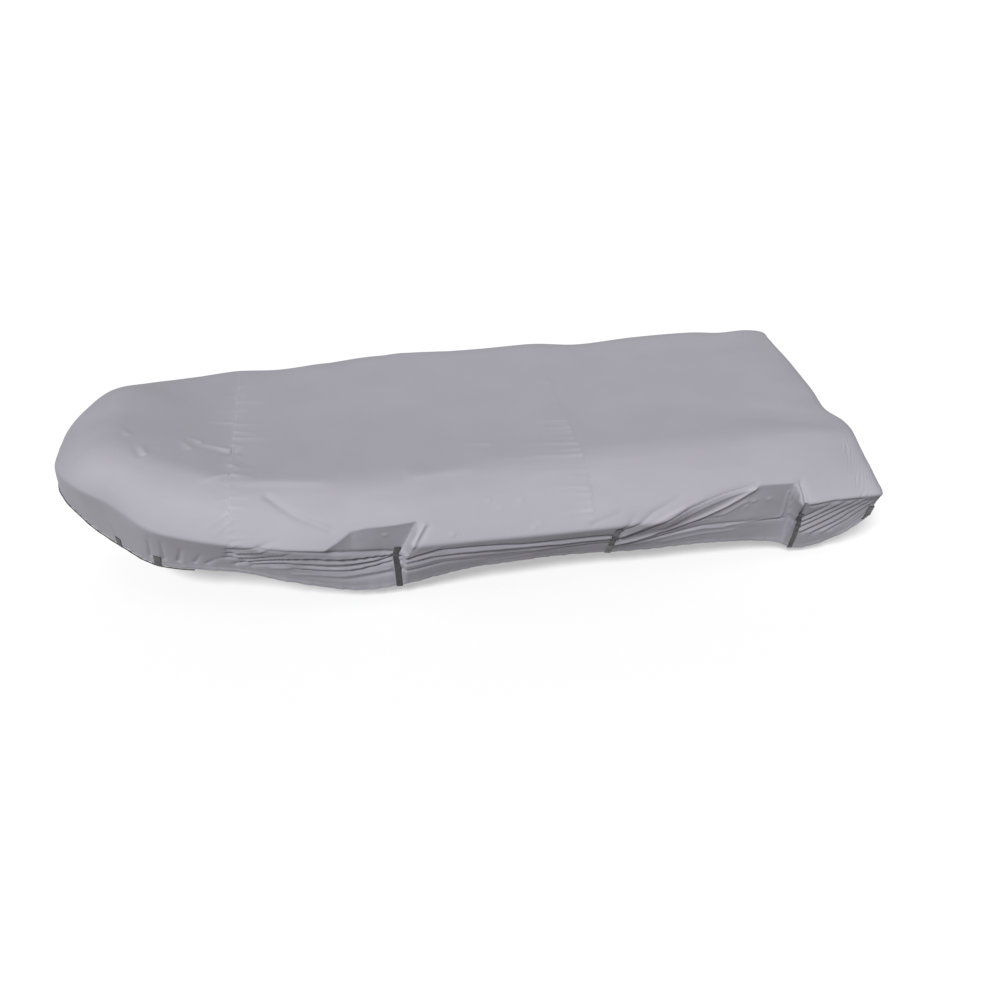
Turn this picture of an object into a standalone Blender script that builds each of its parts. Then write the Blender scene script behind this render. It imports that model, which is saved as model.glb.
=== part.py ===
"""Fitted cover for a 4.2 m open inflatable boat.

Three sewn cloth panels (bow, middle, stern) are lofted from one table of stations that runs
round half the boat, from the middle of the bow to the middle of the stern.  Each station gives
the crease along the top of the side tube, the widest line of the side and the hem.  Webbing
straps lie on the side panels, webbing tabs sit on the hem and a draw cord follows the bow hem.
X runs from bow (-) to stern (+), Y across the boat (near side -), Z up.  The origin lies on the
underside of the top, on the centre line.  Units are metres.
"""
from collections import namedtuple

import bmesh
import bpy
import numpy as np

# ---------------------------------------------------------------- driving dimensions
CLOTH = 0.002            # thickness of the coated cloth with its seam allowance
SEAM_GAP = 0.0004        # between two panels where they are sewn edge to edge
PIECE_GAP = 0.0004       # between the cloth and what is sewn on it
BOW_SEAM = -1.120        # place of the seam between bow and middle panel
STERN_SEAM = 0.620       # place of the seam between middle and stern panel
SPINE = -0.010           # height of the centre line in the station table
LIFT = CLOTH - SPINE     # raises the table so that the underside of the top lies at zero
BOW_RISE = 0.016         # how much higher the centre line stands at the bow seam
RISE_FROM = -0.600       # where that rise begins
SHOULDER = 0.84          # share of the half top that is flat, before it eases to the crease
SHOULDER_FALL = 0.018    # drop from the flat of the top to the crease
TAUT_POWER = 1.3         # rise of the top where it is taut: nearly a straight line
LEVEL_POWER = 4          # rise of the top at the stern, which stays level almost to its edge
UNDER_BELLY = 0.004      # outward belly of the cloth between the widest line and the hem
FOLDS_FADE = 0.25        # the side folds fade out over this distance from the centre line
HOLLOW_EASE = 0.050      # over how much of the boat's length a hollow ends at its aft edge
WEBBING = 0.030          # width of the straps
WEBBING_THICK = 0.0018
WEBBING_INSET = 0.04     # share of its strip of cloth that a strap leaves free at each edge
STRAP_HOLD = 0.6         # share of a strap's width, each way, over which it holds the cloth flat
TAB = 0.040              # width of the tabs on the bow and stern hem
TAB_HANG = 0.010         # how far a tab hangs below the hem before it turns in
TAB_PROBE = 0.1          # share of a row over which the length of the hem is measured at a tab
ROW_CLEAR = 0.08         # loft lines nearer to a strap's edge than this share of a row are left out
ROW_SEARCH = 2400        # steps in which the row of a strap's edge is looked for
JOIN = 0.00005           # points nearer than this are one
CORD_RADIUS = 0.0032     # draw cord of the bow hem
CORD_END = 5             # station at which the draw cord comes out of the bow hem

# ---------------------------------------------------------------- stations
Station = namedtuple(
    "Station",
    "crease_x crease_y crease_z side_x side_y side_z hem_x hem_y hem_z bulge far_dip far_aft")
STATIONS = [
    #        crease         widest line           hem                bulge, far side up and aft by
    Station(-1.760, 0.000, 0.110, -2.040, 0.000, -0.050, -2.057, 0.000, -0.165, 0.035, 0.000, 0.000),
    Station(-1.755, 0.180, 0.110, -2.022, 0.215, -0.052, -2.034, 0.170, -0.224, 0.035, 0.014, 0.000),
    Station(-1.725, 0.330, 0.105, -1.900, 0.415, -0.060, -1.906, 0.278, -0.353, 0.035, 0.022, 0.000),
    Station(-1.610, 0.445, 0.080, -1.730, 0.545, -0.100, -1.750, 0.410, -0.417, 0.032, 0.010, 0.000),
    Station(-1.460, 0.530, 0.050, -1.530, 0.715, -0.170, -1.567, 0.562, -0.460, 0.030, 0.006, 0.000),
    Station(-1.300, 0.600, 0.025, -1.340, 0.795, -0.203, -1.351, 0.655, -0.462, 0.030, 0.006, 0.000),
    Station(-1.120, 0.660, 0.000, -1.120, 0.873, -0.218, -1.120, 0.720, -0.469, 0.030, 0.010, 0.000),
    Station(-0.900, 0.690, -0.010, -0.900, 0.930, -0.240, -0.904, 0.755, -0.528, 0.030, -0.010, 0.0),
    Station(-0.600, 0.745, -0.016, -0.600, 0.962, -0.255, -0.600, 0.773, -0.608, 0.030, -0.004, 0.0),
    Station(-0.350, 0.765, -0.020, -0.350, 0.972, -0.262, -0.350, 0.783, -0.607, 0.030, 0.010, 0.000),
    Station(0.000, 0.745, -0.018, 0.000, 0.980, -0.265, 0.004, 0.803, -0.536, 0.030, 0.008, 0.000),
    Station(0.300, 0.740, -0.018, 0.300, 0.984, -0.267, 0.307, 0.798, -0.524, 0.030, 0.006, 0.000),
    Station(0.620, 0.730, -0.018, 0.620, 0.985, -0.268, 0.620, 0.783, -0.536, 0.030, 0.012, 0.000),
    Station(0.900, 0.730, -0.018, 0.900, 0.985, -0.268, 0.913, 0.788, -0.550, 0.030, -0.018, 0.000),
    Station(1.250, 0.725, -0.018, 1.250, 0.985, -0.268, 1.260, 0.793, -0.545, 0.030, 0.000, 0.000),
    Station(1.600, 0.715, -0.018, 1.600, 0.982, -0.265, 1.610, 0.780, -0.590, 0.028, 0.004, 0.000),
    Station(1.800, 0.705, -0.020, 1.810, 0.980, -0.255, 1.785, 0.780, -0.655, 0.020, -0.012, 0.000),
    Station(1.950, 0.690, -0.026, 1.990, 0.978, -0.245, 1.980, 0.815, -0.576, 0.010, 0.006, 0.000),
    Station(2.046, 0.655, -0.036, 2.112, 0.965, -0.245, 2.105, 0.875, -0.423, 0.000, 0.010, 0.004),
    Station(2.058, 0.550, -0.034, 2.100, 0.760, -0.300, 2.105, 0.740, -0.460, 0.004, 0.010, -0.006),
    Station(2.008, 0.410, -0.022, 2.048, 0.450, -0.300, 2.055, 0.450, -0.450, 0.010, 0.010, 0.034),
    Station(2.022, 0.200, -0.010, 2.050, 0.220, -0.300, 2.052, 0.220, -0.440, 0.010, 0.005, 0.014),
    Station(2.030, 0.000, -0.008, 2.052, 0.000, -0.300, 2.054, 0.000, -0.440, 0.010, 0.000, 0.000),
]
TABLE = np.array(STATIONS)
AT_BOW_SEAM = 6          # row of the table that holds the bow seam
AT_STERN_SEAM = 12
AT_STERN_CORNER = 18
AT_STERN = len(STATIONS) - 1

# loft steps from each station to the next, on the near side and on the far side
BOW_STEPS_NEAR = (2, 2, 3, 3, 3, 3)
BOW_STEPS_FAR = (2, 2, 2, 2, 2, 2)
MIDDLE_STEPS = (4, 6, 5, 5, 3, 3)
STERN_STEPS_NEAR = (4, 5, 5, 4, 3, 2, 2, 2, 1, 1)
STERN_STEPS_FAR = (1, 2, 2, 1, 2, 2, 2, 2, 1, 1)

# where the loft has its lines along the boat: shares of the half top, and numbers of steps
TOP_LINES = (0.0, 0.32, 0.62, 0.84, 0.93)
SIDE_LINES = 14
UNDER_LINES = 9
PLAIN_SIDE_LINES = 8     # on the far side of the middle panel
PLAIN_UNDER_LINES = 4

# ---------------------------------------------------------------- folds of the side panels
# Places on the side are (x, drop): drop is measured along the cloth, down from the crease.
# A positive depth is a trough, a negative one a ridge; it runs from the first to the last point.
Fold = namedtuple("Fold", "x0 drop0 x1 drop1 x2 drop2 depth0 depth1 width")
NEAR_FOLDS = [
    # soft diagonal trough behind the bow seam
    Fold(-0.94, 0.064, -0.81, 0.165, -0.65, 0.225, 0.005, 0.006, 0.030),
    # pleats that start at the foot of the bow seam and run aft to the first strap
    Fold(-1.15, 0.360, -1.02, 0.320, -0.91, 0.283, 0.016, 0.003, 0.020),
    Fold(-1.17, 0.420, -1.00, 0.400, -0.86, 0.375, 0.020, 0.010, 0.020),
    Fold(-1.14, 0.480, -0.84, 0.440, -0.60, 0.455, 0.016, 0.014, 0.020),
    Fold(-0.60, 0.455, -0.48, 0.452, -0.36, 0.465, 0.014, 0.020, 0.020),
    Fold(-1.00, 0.550, -0.60, 0.560, -0.37, 0.530, 0.010, 0.014, 0.022),
    Fold(-0.80, 0.620, -0.60, 0.630, -0.38, 0.600, 0.006, 0.010, 0.022),
    # ridge and trough that rise aft of the first strap
    Fold(-0.34, 0.458, -0.27, 0.320, -0.20, 0.237, -0.014, -0.008, 0.020),
    Fold(-0.35, 0.430, -0.32, 0.300, -0.27, 0.211, 0.012, 0.006, 0.020),
    # long troughs below the widest line, from the first strap to the second
    Fold(-0.33, 0.450, -0.14, 0.405, 0.17, 0.420, 0.016, 0.014, 0.020),
    Fold(0.17, 0.420, 0.42, 0.450, 0.72, 0.465, 0.014, 0.018, 0.020),
    Fold(-0.33, 0.530, 0.20, 0.510, 0.72, 0.530, 0.010, 0.012, 0.022),
    # fan of folds that rise aft of the second strap
    Fold(0.77, 0.430, 0.91, 0.315, 1.06, 0.249, 0.016, 0.005, 0.020),
    Fold(0.76, 0.515, 1.10, 0.330, 1.44, 0.240, 0.022, 0.010, 0.022),
    Fold(0.76, 0.570, 1.16, 0.415, 1.45, 0.250, -0.010, -0.014, 0.020),
    Fold(0.82, 0.590, 1.20, 0.480, 1.36, 0.400, 0.012, 0.008, 0.020),
    # upright fold ahead of the third strap
    Fold(1.650, 0.250, 1.675, 0.400, 1.700, 0.552, 0.008, 0.020, 0.022),
    # pleats that fan out from the third strap to the end of the tube
    Fold(1.73, 0.555, 1.79, 0.470, 1.86, 0.390, 0.016, 0.005, 0.020),
    Fold(1.75, 0.600, 1.86, 0.500, 1.98, 0.415, 0.016, 0.006, 0.020),
    Fold(1.79, 0.650, 1.92, 0.560, 2.05, 0.440, 0.014, 0.006, 0.020),
]
# the far side is drawn in by its straps in a plainer way
FAR_FOLDS = [
    Fold(-0.36, 0.530, -0.62, 0.470, -0.95, 0.440, 0.022, 0.006, 0.045),
    Fold(-0.33, 0.530, -0.05, 0.485, 0.25, 0.500, 0.022, 0.006, 0.045),
    Fold(0.77, 0.530, 1.05, 0.420, 1.35, 0.340, 0.026, 0.008, 0.045),
    Fold(0.70, 0.530, 0.45, 0.500, 0.20, 0.500, 0.020, 0.006, 0.045),
    Fold(1.69, 0.540, 1.50, 0.470, 1.30, 0.430, 0.022, 0.006, 0.045),
]
# Hollows: the cloth spans straight from a ridge on the side down to a strap.  Each place gives
# x, the drops of the head and the foot of the span, and how far in its foot is drawn; the edge
# gives the (x, drop) of both ends of the steep edge at which the hollow stops towards the stern.
Hollow = namedtuple("Hollow", "places edge")
NEAR_HOLLOWS = [
    Hollow([(-0.74, 0.385, 0.390, 0.000), (-0.66, 0.345, 0.385, 0.025),
            (-0.54, 0.224, 0.395, 0.055), (-0.42, 0.208, 0.410, 0.070),
            (-0.20, 0.206, 0.425, 0.080)],
           ((-0.285, 0.206), (-0.335, 0.458))),
    Hollow([(0.80, 0.500, 0.510, 0.000), (0.94, 0.396, 0.500, 0.015),
            (1.11, 0.312, 0.490, 0.030), (1.29, 0.261, 0.495, 0.040),
            (1.46, 0.233, 0.515, 0.045), (1.75, 0.248, 0.550, 0.050)],
           ((1.660, 0.245), (1.712, 0.555))),
]

# ---------------------------------------------------------------- straps and tabs
# start is the drop at a strap's upper end; below the hem it hangs, then turns in by its tail
Strap = namedtuple("Strap", "name x start hang tail")
STRAPS = [
    Strap("strap_1", -0.350, 0.350, 0.010, 0.020),
    Strap("strap_2", 0.740, 0.390, 0.015, 0.020),
    Strap("strap_3", 1.725, 0.440, 0.010, 0.020),
]
Tab = namedtuple("Tab", "name station lines tail")       # lines: loft lines that it covers
TABS = [
    Tab("bow_tab_front", 3.05, 3, 0.006),
    Tab("bow_tab_side", 4.15, 4, 0.008),
    Tab("stern_tab", 17.75, 4, 0.008),
]


def clear_scene():
    for old in list(bpy.data.objects):
        bpy.data.objects.remove(old, do_unlink=True)


def new_collection(name):
    made = bpy.data.collections.new(name)
    bpy.context.scene.collection.children.link(made)
    return made


def new_material(name, colour, roughness):
    made = bpy.data.materials.new(name)
    made.use_nodes = True
    shader = made.node_tree.nodes["Principled BSDF"]
    shader.inputs["Base Color"].default_value = (*colour, 1.0)
    shader.inputs["Roughness"].default_value = roughness
    shader.inputs["Metallic"].default_value = 0.0
    return made


# ---------------------------------------------------------------- the lofted surface
def read_table(rows):
    """Station table read at any row number: a cubic through the rows with finite slopes."""
    slope = np.gradient(TABLE, axis=0)
    low = np.clip(np.floor(rows).astype(int), 0, AT_STERN - 1)
    t = (rows - low)[:, None]
    return ((2 * t**3 - 3 * t**2 + 1) * TABLE[low] + (t**3 - 2 * t**2 + t) * slope[low]
            + (3 * t**2 - 2 * t**3) * TABLE[low + 1] + (t**3 - t**2) * slope[low + 1])


def loft_rows(first, steps):
    """Row numbers from one station on, with the given number of steps to each next one."""
    rows = [first + i + k / n for i, n in enumerate(steps) for k in range(n)]
    return rows + [first + len(steps)]


def strap_rows(strap):
    """Row numbers of the two edges of a strap, where the widest line reaches their x."""
    rows = np.linspace(AT_BOW_SEAM, AT_STERN_CORNER, ROW_SEARCH)
    x = read_table(rows)[:, 3]
    return [float(np.interp(strap.x + side * WEBBING / 2, x, rows)) for side in (-1, 1)]


def tab_rows(tab):
    """Row numbers of the two edges of a tab, measured along the hem."""
    ends = read_table(np.array([tab.station - TAB_PROBE, tab.station + TAB_PROBE]))[:, 6:8]
    half = TAB_PROBE * TAB / np.linalg.norm(ends[1] - ends[0])
    return [tab.station - half, tab.station + half]


def with_strip_edges(rows):
    """Rows with a loft line on each edge of each strap and tab, and no line just beside it."""
    edges = [edge for strap in STRAPS for edge in strap_rows(strap)]
    edges += [edge for tab in TABS for edge in tab_rows(tab)]
    edges = [edge for edge in edges if rows[0] < edge < rows[-1]]
    kept = [row for row in rows[1:-1] if all(abs(row - edge) > ROW_CLEAR for edge in edges)]
    return np.array(sorted([rows[0], *kept, *edges, rows[-1]]), dtype=float)


def smooth_step(value):
    value = np.clip(value, 0.0, 1.0)
    return value * value * (3 - 2 * value)


def fold_depth(folds, x, drop):
    """Depth of all folds at places on the side: a bell across each fold, round at its ends."""
    total = np.zeros_like(x)
    for fold in folds:
        points = np.array([(fold.x0, fold.drop0), (fold.x1, fold.drop1), (fold.x2, fold.drop2)])
        length = np.linalg.norm(np.diff(points, axis=0), axis=1)
        nearest = np.full(x.shape, np.inf)
        along = np.zeros(x.shape)
        for k in (0, 1):
            step = points[k + 1] - points[k]
            t = ((x - points[k, 0]) * step[0] + (drop - points[k, 1]) * step[1]) / length[k]**2
            t = np.clip(t, 0.0, 1.0)
            away = np.hypot(x - points[k, 0] - t * step[0], drop - points[k, 1] - t * step[1])
            share = (t * length[k] + k * length[0]) / length.sum()
            along = np.where(away < nearest, share, along)
            nearest = np.minimum(away, nearest)
        depth = fold.depth0 + (fold.depth1 - fold.depth0) * along
        total += depth * np.exp(-(nearest / fold.width)**2)
    return total


def span_hollows(lines, drop):
    """Grid with each of its lines drawn straight from the head to the foot of every hollow.

    The foot moves in by the hollow's depth; below it that eases in proportion to the hem.
    """
    lines = lines.copy()
    for hollow in NEAR_HOLLOWS:
        table = np.array(hollow.places)
        edge_x, edge_drop = np.array(hollow.edge).T
        for line, reach in zip(lines, drop):
            x = under_straps(line[-1, 0])
            if x < table[0, 0] or x > table[-1, 0]:
                continue
            head, foot, depth = [np.interp(x, table[:, 0], table[:, k]) for k in (1, 2, 3)]
            start = np.array([np.interp(head, reach, line[:, k]) for k in range(3)])
            end = np.array([np.interp(foot, reach, line[:, k]) for k in range(3)]) - (0, depth, 0)
            down = (reach - head) / (foot - head)
            span = start + (end - start) * down[:, None]
            back = (reach[-1] - reach) / (reach[-1] - foot)
            below = line - np.outer(back, (0, depth, 0))
            drawn = np.where(down[:, None] < 1, span, below)
            along = edge_x[0] + (edge_x[1] - edge_x[0]) * (reach - edge_drop[0]) / np.ptp(edge_drop)
            inside = smooth_step((along - x) / HOLLOW_EASE + 0.5) * (down > 0)
            line += (drawn - line) * inside[:, None]
    return lines


def under_straps(x):
    """x with each place under a strap moved to the strap's middle: it holds the cloth flat."""
    for strap in STRAPS:
        x = np.where(abs(x - strap.x) < STRAP_HOLD * WEBBING, strap.x, x)
    return x


def fold_in(lines, far):
    """Draw the grid of the +Y side in at its hollows and move it along its normals by the folds."""
    step = np.linalg.norm(np.diff(lines, axis=1), axis=2)
    reach = np.concatenate([np.zeros((len(lines), 1)), np.cumsum(step, axis=1)], axis=1)
    first = len(TOP_LINES)
    drop = reach - reach[:, first:first + 1]
    if not far:
        lines = span_hollows(lines, drop)
    normal = np.cross(np.gradient(lines, axis=0), np.gradient(lines, axis=1))
    normal = normal / np.maximum(np.linalg.norm(normal, axis=2, keepdims=True), 1e-9)
    x = under_straps(lines[:, :, 0])
    depth = fold_depth(FAR_FOLDS if far else NEAR_FOLDS, x, drop)
    depth = depth * smooth_step(lines[:, :, 1] / FOLDS_FADE)
    moved = lines - normal * depth[..., None]
    moved[:, :first] = lines[:, :first]
    return moved


def girth_lines(rows, far, side_lines, under_lines):
    """Lines from the spine over the crease and the widest line to the hem, one for each row.

    Returns an array rows x places x (x, y, z).  The top rises from the spine to the shoulder
    by a power of its share of the width, nearly straight where it is taut and late where it is
    level, and eases to the crease; the side is a chord with a bulge; the underside is a chord
    with a small belly.  The lines are worked out on the +Y side and turned over for the near
    side.
    """
    table = read_table(rows)
    crease = table[:, 0:3].copy()
    side = table[:, 3:6]
    hem = table[:, 6:9]
    bulge = table[:, 9]
    dip = table[:, 10:11] if far else 0.0
    crease[:, 0] += table[:, 11] * far
    spine = np.zeros_like(crease)
    spine[:, 0] = np.clip(crease[:, 0], BOW_SEAM, STERN_SEAM)
    spine[:, 2] = SPINE + BOW_RISE * smooth_step((RISE_FROM - spine[:, 0]) / (RISE_FROM - BOW_SEAM))

    f = np.array(TOP_LINES)[None, :]
    top = spine[:, None] * (1 - f[..., None]) + crease[:, None] * f[..., None]
    flat = crease[:, 2:3] + SHOULDER_FALL
    level = smooth_step(rows - AT_STERN_SEAM)[:, None]
    power = TAUT_POWER + (LEVEL_POWER - TAUT_POWER) * level
    rise = np.clip(f / SHOULDER, 0, 1)**power
    fall = np.clip((f - SHOULDER) / (1 - SHOULDER), 0, 1)**TAUT_POWER
    top[:, :, 2] = spine[:, 2:3] + (flat - spine[:, 2:3]) * rise - SHOULDER_FALL * fall
    top[:, :, 2] += dip * f**LEVEL_POWER
    crease[:, 2:3] += dip

    f = np.linspace(0, 1, side_lines + 1)[None, :-1, None]
    chord = side - crease
    away = chord * (1, 1, 0)
    run = np.linalg.norm(away, axis=1, keepdims=True)
    slant = np.linalg.norm(chord, axis=1, keepdims=True)
    outward = away / run * (-chord[:, 2:3] / slant)
    outward[:, 2:3] = run / slant
    flank = crease[:, None] * (1 - f) + side[:, None] * f
    flank += 4 * f * (1 - f) * bulge[:, None, None] * outward[:, None]

    f = np.linspace(0, 1, under_lines + 1)[None, :, None]
    under = side[:, None] * (1 - f) + hem[:, None] * f
    under += UNDER_BELLY * np.sin(np.pi * f) * (away / run)[:, None]

    lines = fold_in(np.concatenate([top, flank, under], axis=1), far)
    lines[:, :, 2] += LIFT
    if not far:
        lines[:, :, 1] *= -1
    return lines


# ---------------------------------------------------------------- cloth
def half_panel(first, steps, far, plain, low_seam, high_seam):
    """Rows and grid of half a panel, cut back by half a gap at each seam that it meets."""
    rows = with_strip_edges(loft_rows(first, steps))
    side_lines = PLAIN_SIDE_LINES if plain else SIDE_LINES
    under_lines = PLAIN_UNDER_LINES if plain else UNDER_LINES
    grid = girth_lines(rows, far, side_lines, under_lines)
    if low_seam is not None:
        grid[:, :, 0] = np.maximum(grid[:, :, 0], low_seam + SEAM_GAP / 2)
    if high_seam is not None:
        grid[:, :, 0] = np.minimum(grid[:, :, 0], high_seam - SEAM_GAP / 2)
    return rows, grid


def sheet_object(name, grids, cloth, thickness, offset, collection):
    """Grids of quads, joined where their edges meet, with a thickness.

    grids holds pairs of a grid and whether it lies on the far side, so that every face is
    wound to look outwards.
    """
    mesh = bmesh.new()
    for grid, far in grids:
        points = [[mesh.verts.new(place) for place in line] for line in grid.tolist()]
        for here, there in zip(points, points[1:]):
            for k in range(len(here) - 1):
                face = [here[k], there[k], there[k + 1], here[k + 1]]
                mesh.faces.new(face if far else face[::-1])
    bmesh.ops.remove_doubles(mesh, verts=mesh.verts, dist=JOIN)
    data = bpy.data.meshes.new(name)
    mesh.to_mesh(data)
    mesh.free()
    made = bpy.data.objects.new(name, data)
    made.data.materials.append(cloth)
    collection.objects.link(made)
    shell = made.modifiers.new("thickness", "SOLIDIFY")
    shell.thickness = thickness
    shell.offset = offset
    return made


# ---------------------------------------------------------------- webbing and cord
def strip_on(grid, index, first_line, hang, tail):
    """Band on the outer side of one strip of a grid, from a loft line down past the hem.

    It is a little narrower than the strip.  Past the hem it hangs straight on, and its tail
    turns inwards at half a right angle.
    """
    edge, other = grid[index:index + 2, first_line:]
    step = (other - edge) * WEBBING_INSET
    strip = np.stack([edge + step, other - step])
    across = np.gradient(strip, axis=0)
    down = np.gradient(strip, axis=1)
    normal = np.cross(across, down)
    normal = normal / np.linalg.norm(normal, axis=2, keepdims=True)
    normal = normal * np.sign(normal[:, :, 1:2] * strip[:, :, 1:2])
    strip = strip + normal * PIECE_GAP
    last = strip[:, -1:] - strip[:, -2:-1]
    last = last / np.linalg.norm(last, axis=2, keepdims=True)
    below = strip[:, -1:] + last * hang
    turned = below + (last - normal[:, -1:]) * tail / np.sqrt(2)
    return np.concatenate([strip, below, turned], axis=1)


def webbing_pieces(halves, webbing, collection):
    """Three straps and three hem tabs on each side of the cover."""
    for far, side in ((False, "near"), (True, "far")):
        for strap in STRAPS:
            edge = strap_rows(strap)[0]
            rows, grid = half_with(halves, edge, far)
            index = int(np.argmin(abs(rows - edge)))
            line = grid[index]
            reach = np.cumsum(np.linalg.norm(np.diff(line, axis=0), axis=1))
            drop = np.concatenate([[0.0], reach]) - reach[len(TOP_LINES) - 1]
            first_line = int(np.argmin(abs(drop - strap.start)))
            band = strip_on(grid, index, first_line, strap.hang, strap.tail)
            sheet_object(f"{side}_{strap.name}", [(band, far)], webbing, WEBBING_THICK, 1.0,
                         collection)
        for tab in TABS:
            edge = tab_rows(tab)[0]
            rows, grid = half_with(halves, edge, far)
            index = int(np.argmin(abs(rows - edge)))
            band = strip_on(grid, index, grid.shape[1] - 1 - tab.lines, TAB_HANG, tab.tail)
            sheet_object(f"{side}_{tab.name}", [(band, far)], webbing, WEBBING_THICK, 1.0,
                         collection)


def half_with(halves, row, far):
    """The half panel on a side whose rows hold a row number."""
    return next((rows, grid) for rows, grid, on_far in halves
                if on_far == far and rows[0] < row < rows[-1])


def draw_cord(halves, cord, collection):
    """Round cord just under the bow hem, from one side of the bow round to the other."""
    route = []
    for far in (False, True):
        rows, grid = half_with(halves, 1.0, far)
        hem = grid[:, -1]
        down = hem - grid[:, -2]
        down = down / np.linalg.norm(down, axis=1, keepdims=True)
        along = np.gradient(hem, axis=0)
        out = np.cross(along, down) * (1.0 if far else -1.0)
        out = out / np.linalg.norm(out, axis=1, keepdims=True)
        line = hem + down * (CORD_RADIUS + PIECE_GAP) - out * CORD_RADIUS
        line = line[rows <= CORD_END]
        route = list(line[::-1]) if not far else route + list(line[1:])
    data = bpy.data.curves.new("bow_draw_cord", "CURVE")
    data.dimensions = "3D"
    data.bevel_depth = CORD_RADIUS
    data.bevel_resolution = 2
    data.use_fill_caps = True
    spline = data.splines.new("POLY")
    spline.points.add(len(route) - 1)
    for point, place in zip(spline.points, route):
        point.co = (*place, 1.0)
    made = bpy.data.objects.new("bow_draw_cord", data)
    made.data.materials.append(cord)
    collection.objects.link(made)


def build():
    clear_scene()
    cover = new_collection("boat_cover")
    cloth = new_material("coated_polyester_cloth", (0.36, 0.35, 0.38), 0.55)
    webbing = new_material("black_webbing", (0.015, 0.015, 0.016), 0.7)
    cord = new_material("black_draw_cord", (0.02, 0.02, 0.02), 0.6)

    panels = [
        ("bow_panel", 0, BOW_STEPS_NEAR, BOW_STEPS_FAR, False, None, BOW_SEAM),
        ("middle_panel", AT_BOW_SEAM, MIDDLE_STEPS, MIDDLE_STEPS, True, BOW_SEAM, STERN_SEAM),
        ("stern_panel", AT_STERN_SEAM, STERN_STEPS_NEAR, STERN_STEPS_FAR, False, STERN_SEAM, None),
    ]
    halves = []
    for name, first, near_steps, far_steps, plain_far, low_seam, high_seam in panels:
        pair = []
        for far, steps in ((False, near_steps), (True, far_steps)):
            rows, grid = half_panel(first, steps, far, plain_far and far, low_seam, high_seam)
            halves.append((rows, grid, far))
            pair.append((grid, far))
        sheet_object(name, pair, cloth, CLOTH, -1.0, cover)
    webbing_pieces(halves, webbing, cover)
    draw_cord(halves, cord, cover)


build()
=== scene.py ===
"""Fitted boat cover of grey coated polyester cloth, 4.2 m long.

Built in the order in which the cover is made and fitted: camera, cloth and its weave, the three
sewn panels with their folds, seams and hem, the webbing, the draw cord, floor and light.
X runs from bow (-) to stern (+), Y from the near side (-) to the far side, Z up, in metres.
"""

import bpy
import numpy as np
from mathutils import Matrix


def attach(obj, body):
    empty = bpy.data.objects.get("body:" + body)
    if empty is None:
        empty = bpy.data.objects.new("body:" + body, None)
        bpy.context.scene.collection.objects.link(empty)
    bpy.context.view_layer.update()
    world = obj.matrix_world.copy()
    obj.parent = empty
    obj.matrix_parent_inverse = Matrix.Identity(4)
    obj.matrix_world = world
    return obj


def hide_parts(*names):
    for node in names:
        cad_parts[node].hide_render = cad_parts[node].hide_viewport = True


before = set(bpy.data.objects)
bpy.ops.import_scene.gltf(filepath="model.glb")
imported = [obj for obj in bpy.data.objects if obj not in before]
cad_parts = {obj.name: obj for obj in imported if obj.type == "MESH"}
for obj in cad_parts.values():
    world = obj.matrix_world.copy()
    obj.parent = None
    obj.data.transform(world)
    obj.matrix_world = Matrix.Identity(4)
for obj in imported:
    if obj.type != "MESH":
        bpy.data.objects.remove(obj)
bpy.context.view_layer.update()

# ---------------------------------------------------------------- camera
# A picture taken from the near side, a little to the bow of the middle, standing 2.7 m above
# the top of the cover and 5.5 m away.  The camera is turned, tipped down and slightly rolled.
CAMERA_PLACE = (-0.4625, -5.49, 2.7185)
YAW, PITCH, ROLL = np.radians([7.84, 31.17, 1.83])
SENSOR = 36.0            # mm
LENS = 40.33             # mm
SIGHT = 200.0            # how far the camera sees, well past the floor


def facing(right, up, backward, place=(0, 0, 0)):
    """Matrix of an object at a place, whose own axes point right, up and backward."""
    matrix = np.eye(4)
    matrix[:3] = np.stack([right, up, backward, place], axis=1)
    return Matrix(matrix.tolist())


def camera_matrix():
    """Matrix of a camera that is turned, tipped down, then rolled about its own view."""
    forward = np.array([np.sin(YAW) * np.cos(PITCH), np.cos(YAW) * np.cos(PITCH), -np.sin(PITCH)])
    level = np.array([np.cos(YAW), -np.sin(YAW), 0.0])
    upright = np.cross(level, forward)
    right = np.cos(ROLL) * level - np.sin(ROLL) * upright
    up = np.sin(ROLL) * level + np.cos(ROLL) * upright
    return facing(right, up, -forward, CAMERA_PLACE)


camera = bpy.data.objects.new("camera", bpy.data.cameras.new("camera"))
camera.data.sensor_width = SENSOR
camera.data.lens = LENS
camera.data.clip_end = SIGHT
camera.matrix_world = camera_matrix()
bpy.context.scene.collection.objects.link(camera)
bpy.context.scene.camera = camera

# ---------------------------------------------------------------- coated polyester cloth
# Plain-woven polyester, dyed grey and coated inside with polyurethane.  The coating and the
# calendering give it a low satin sheen; the crests of its folds get a painted highlight.
WEAVE_PITCH = 0.0032     # threads are 0.5 mm apart; drawn coarser, or they wouldn't show
CLOTH_GREY = "#8E8C94"
CLOTH_SHADE = "#8B8991"
# colour of the painted highlight on the crests of the folds
CLOTH_CREST_HIGHLIGHT = "#9C9AA1"


def linear(hex_colour):
    """Linear RGBA of an sRGB hex colour: ((c + 0.055) / 1.055)^2.4, or c / 12.92 where dark."""
    srgb = np.array([int(hex_colour[i:i + 2], 16) for i in (1, 3, 5)]) / 255
    flat = np.where(srgb <= 0.04045, srgb / 12.92, ((srgb + 0.055) / 1.055)**2.4)
    return (*flat.tolist(), 1.0)


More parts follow.
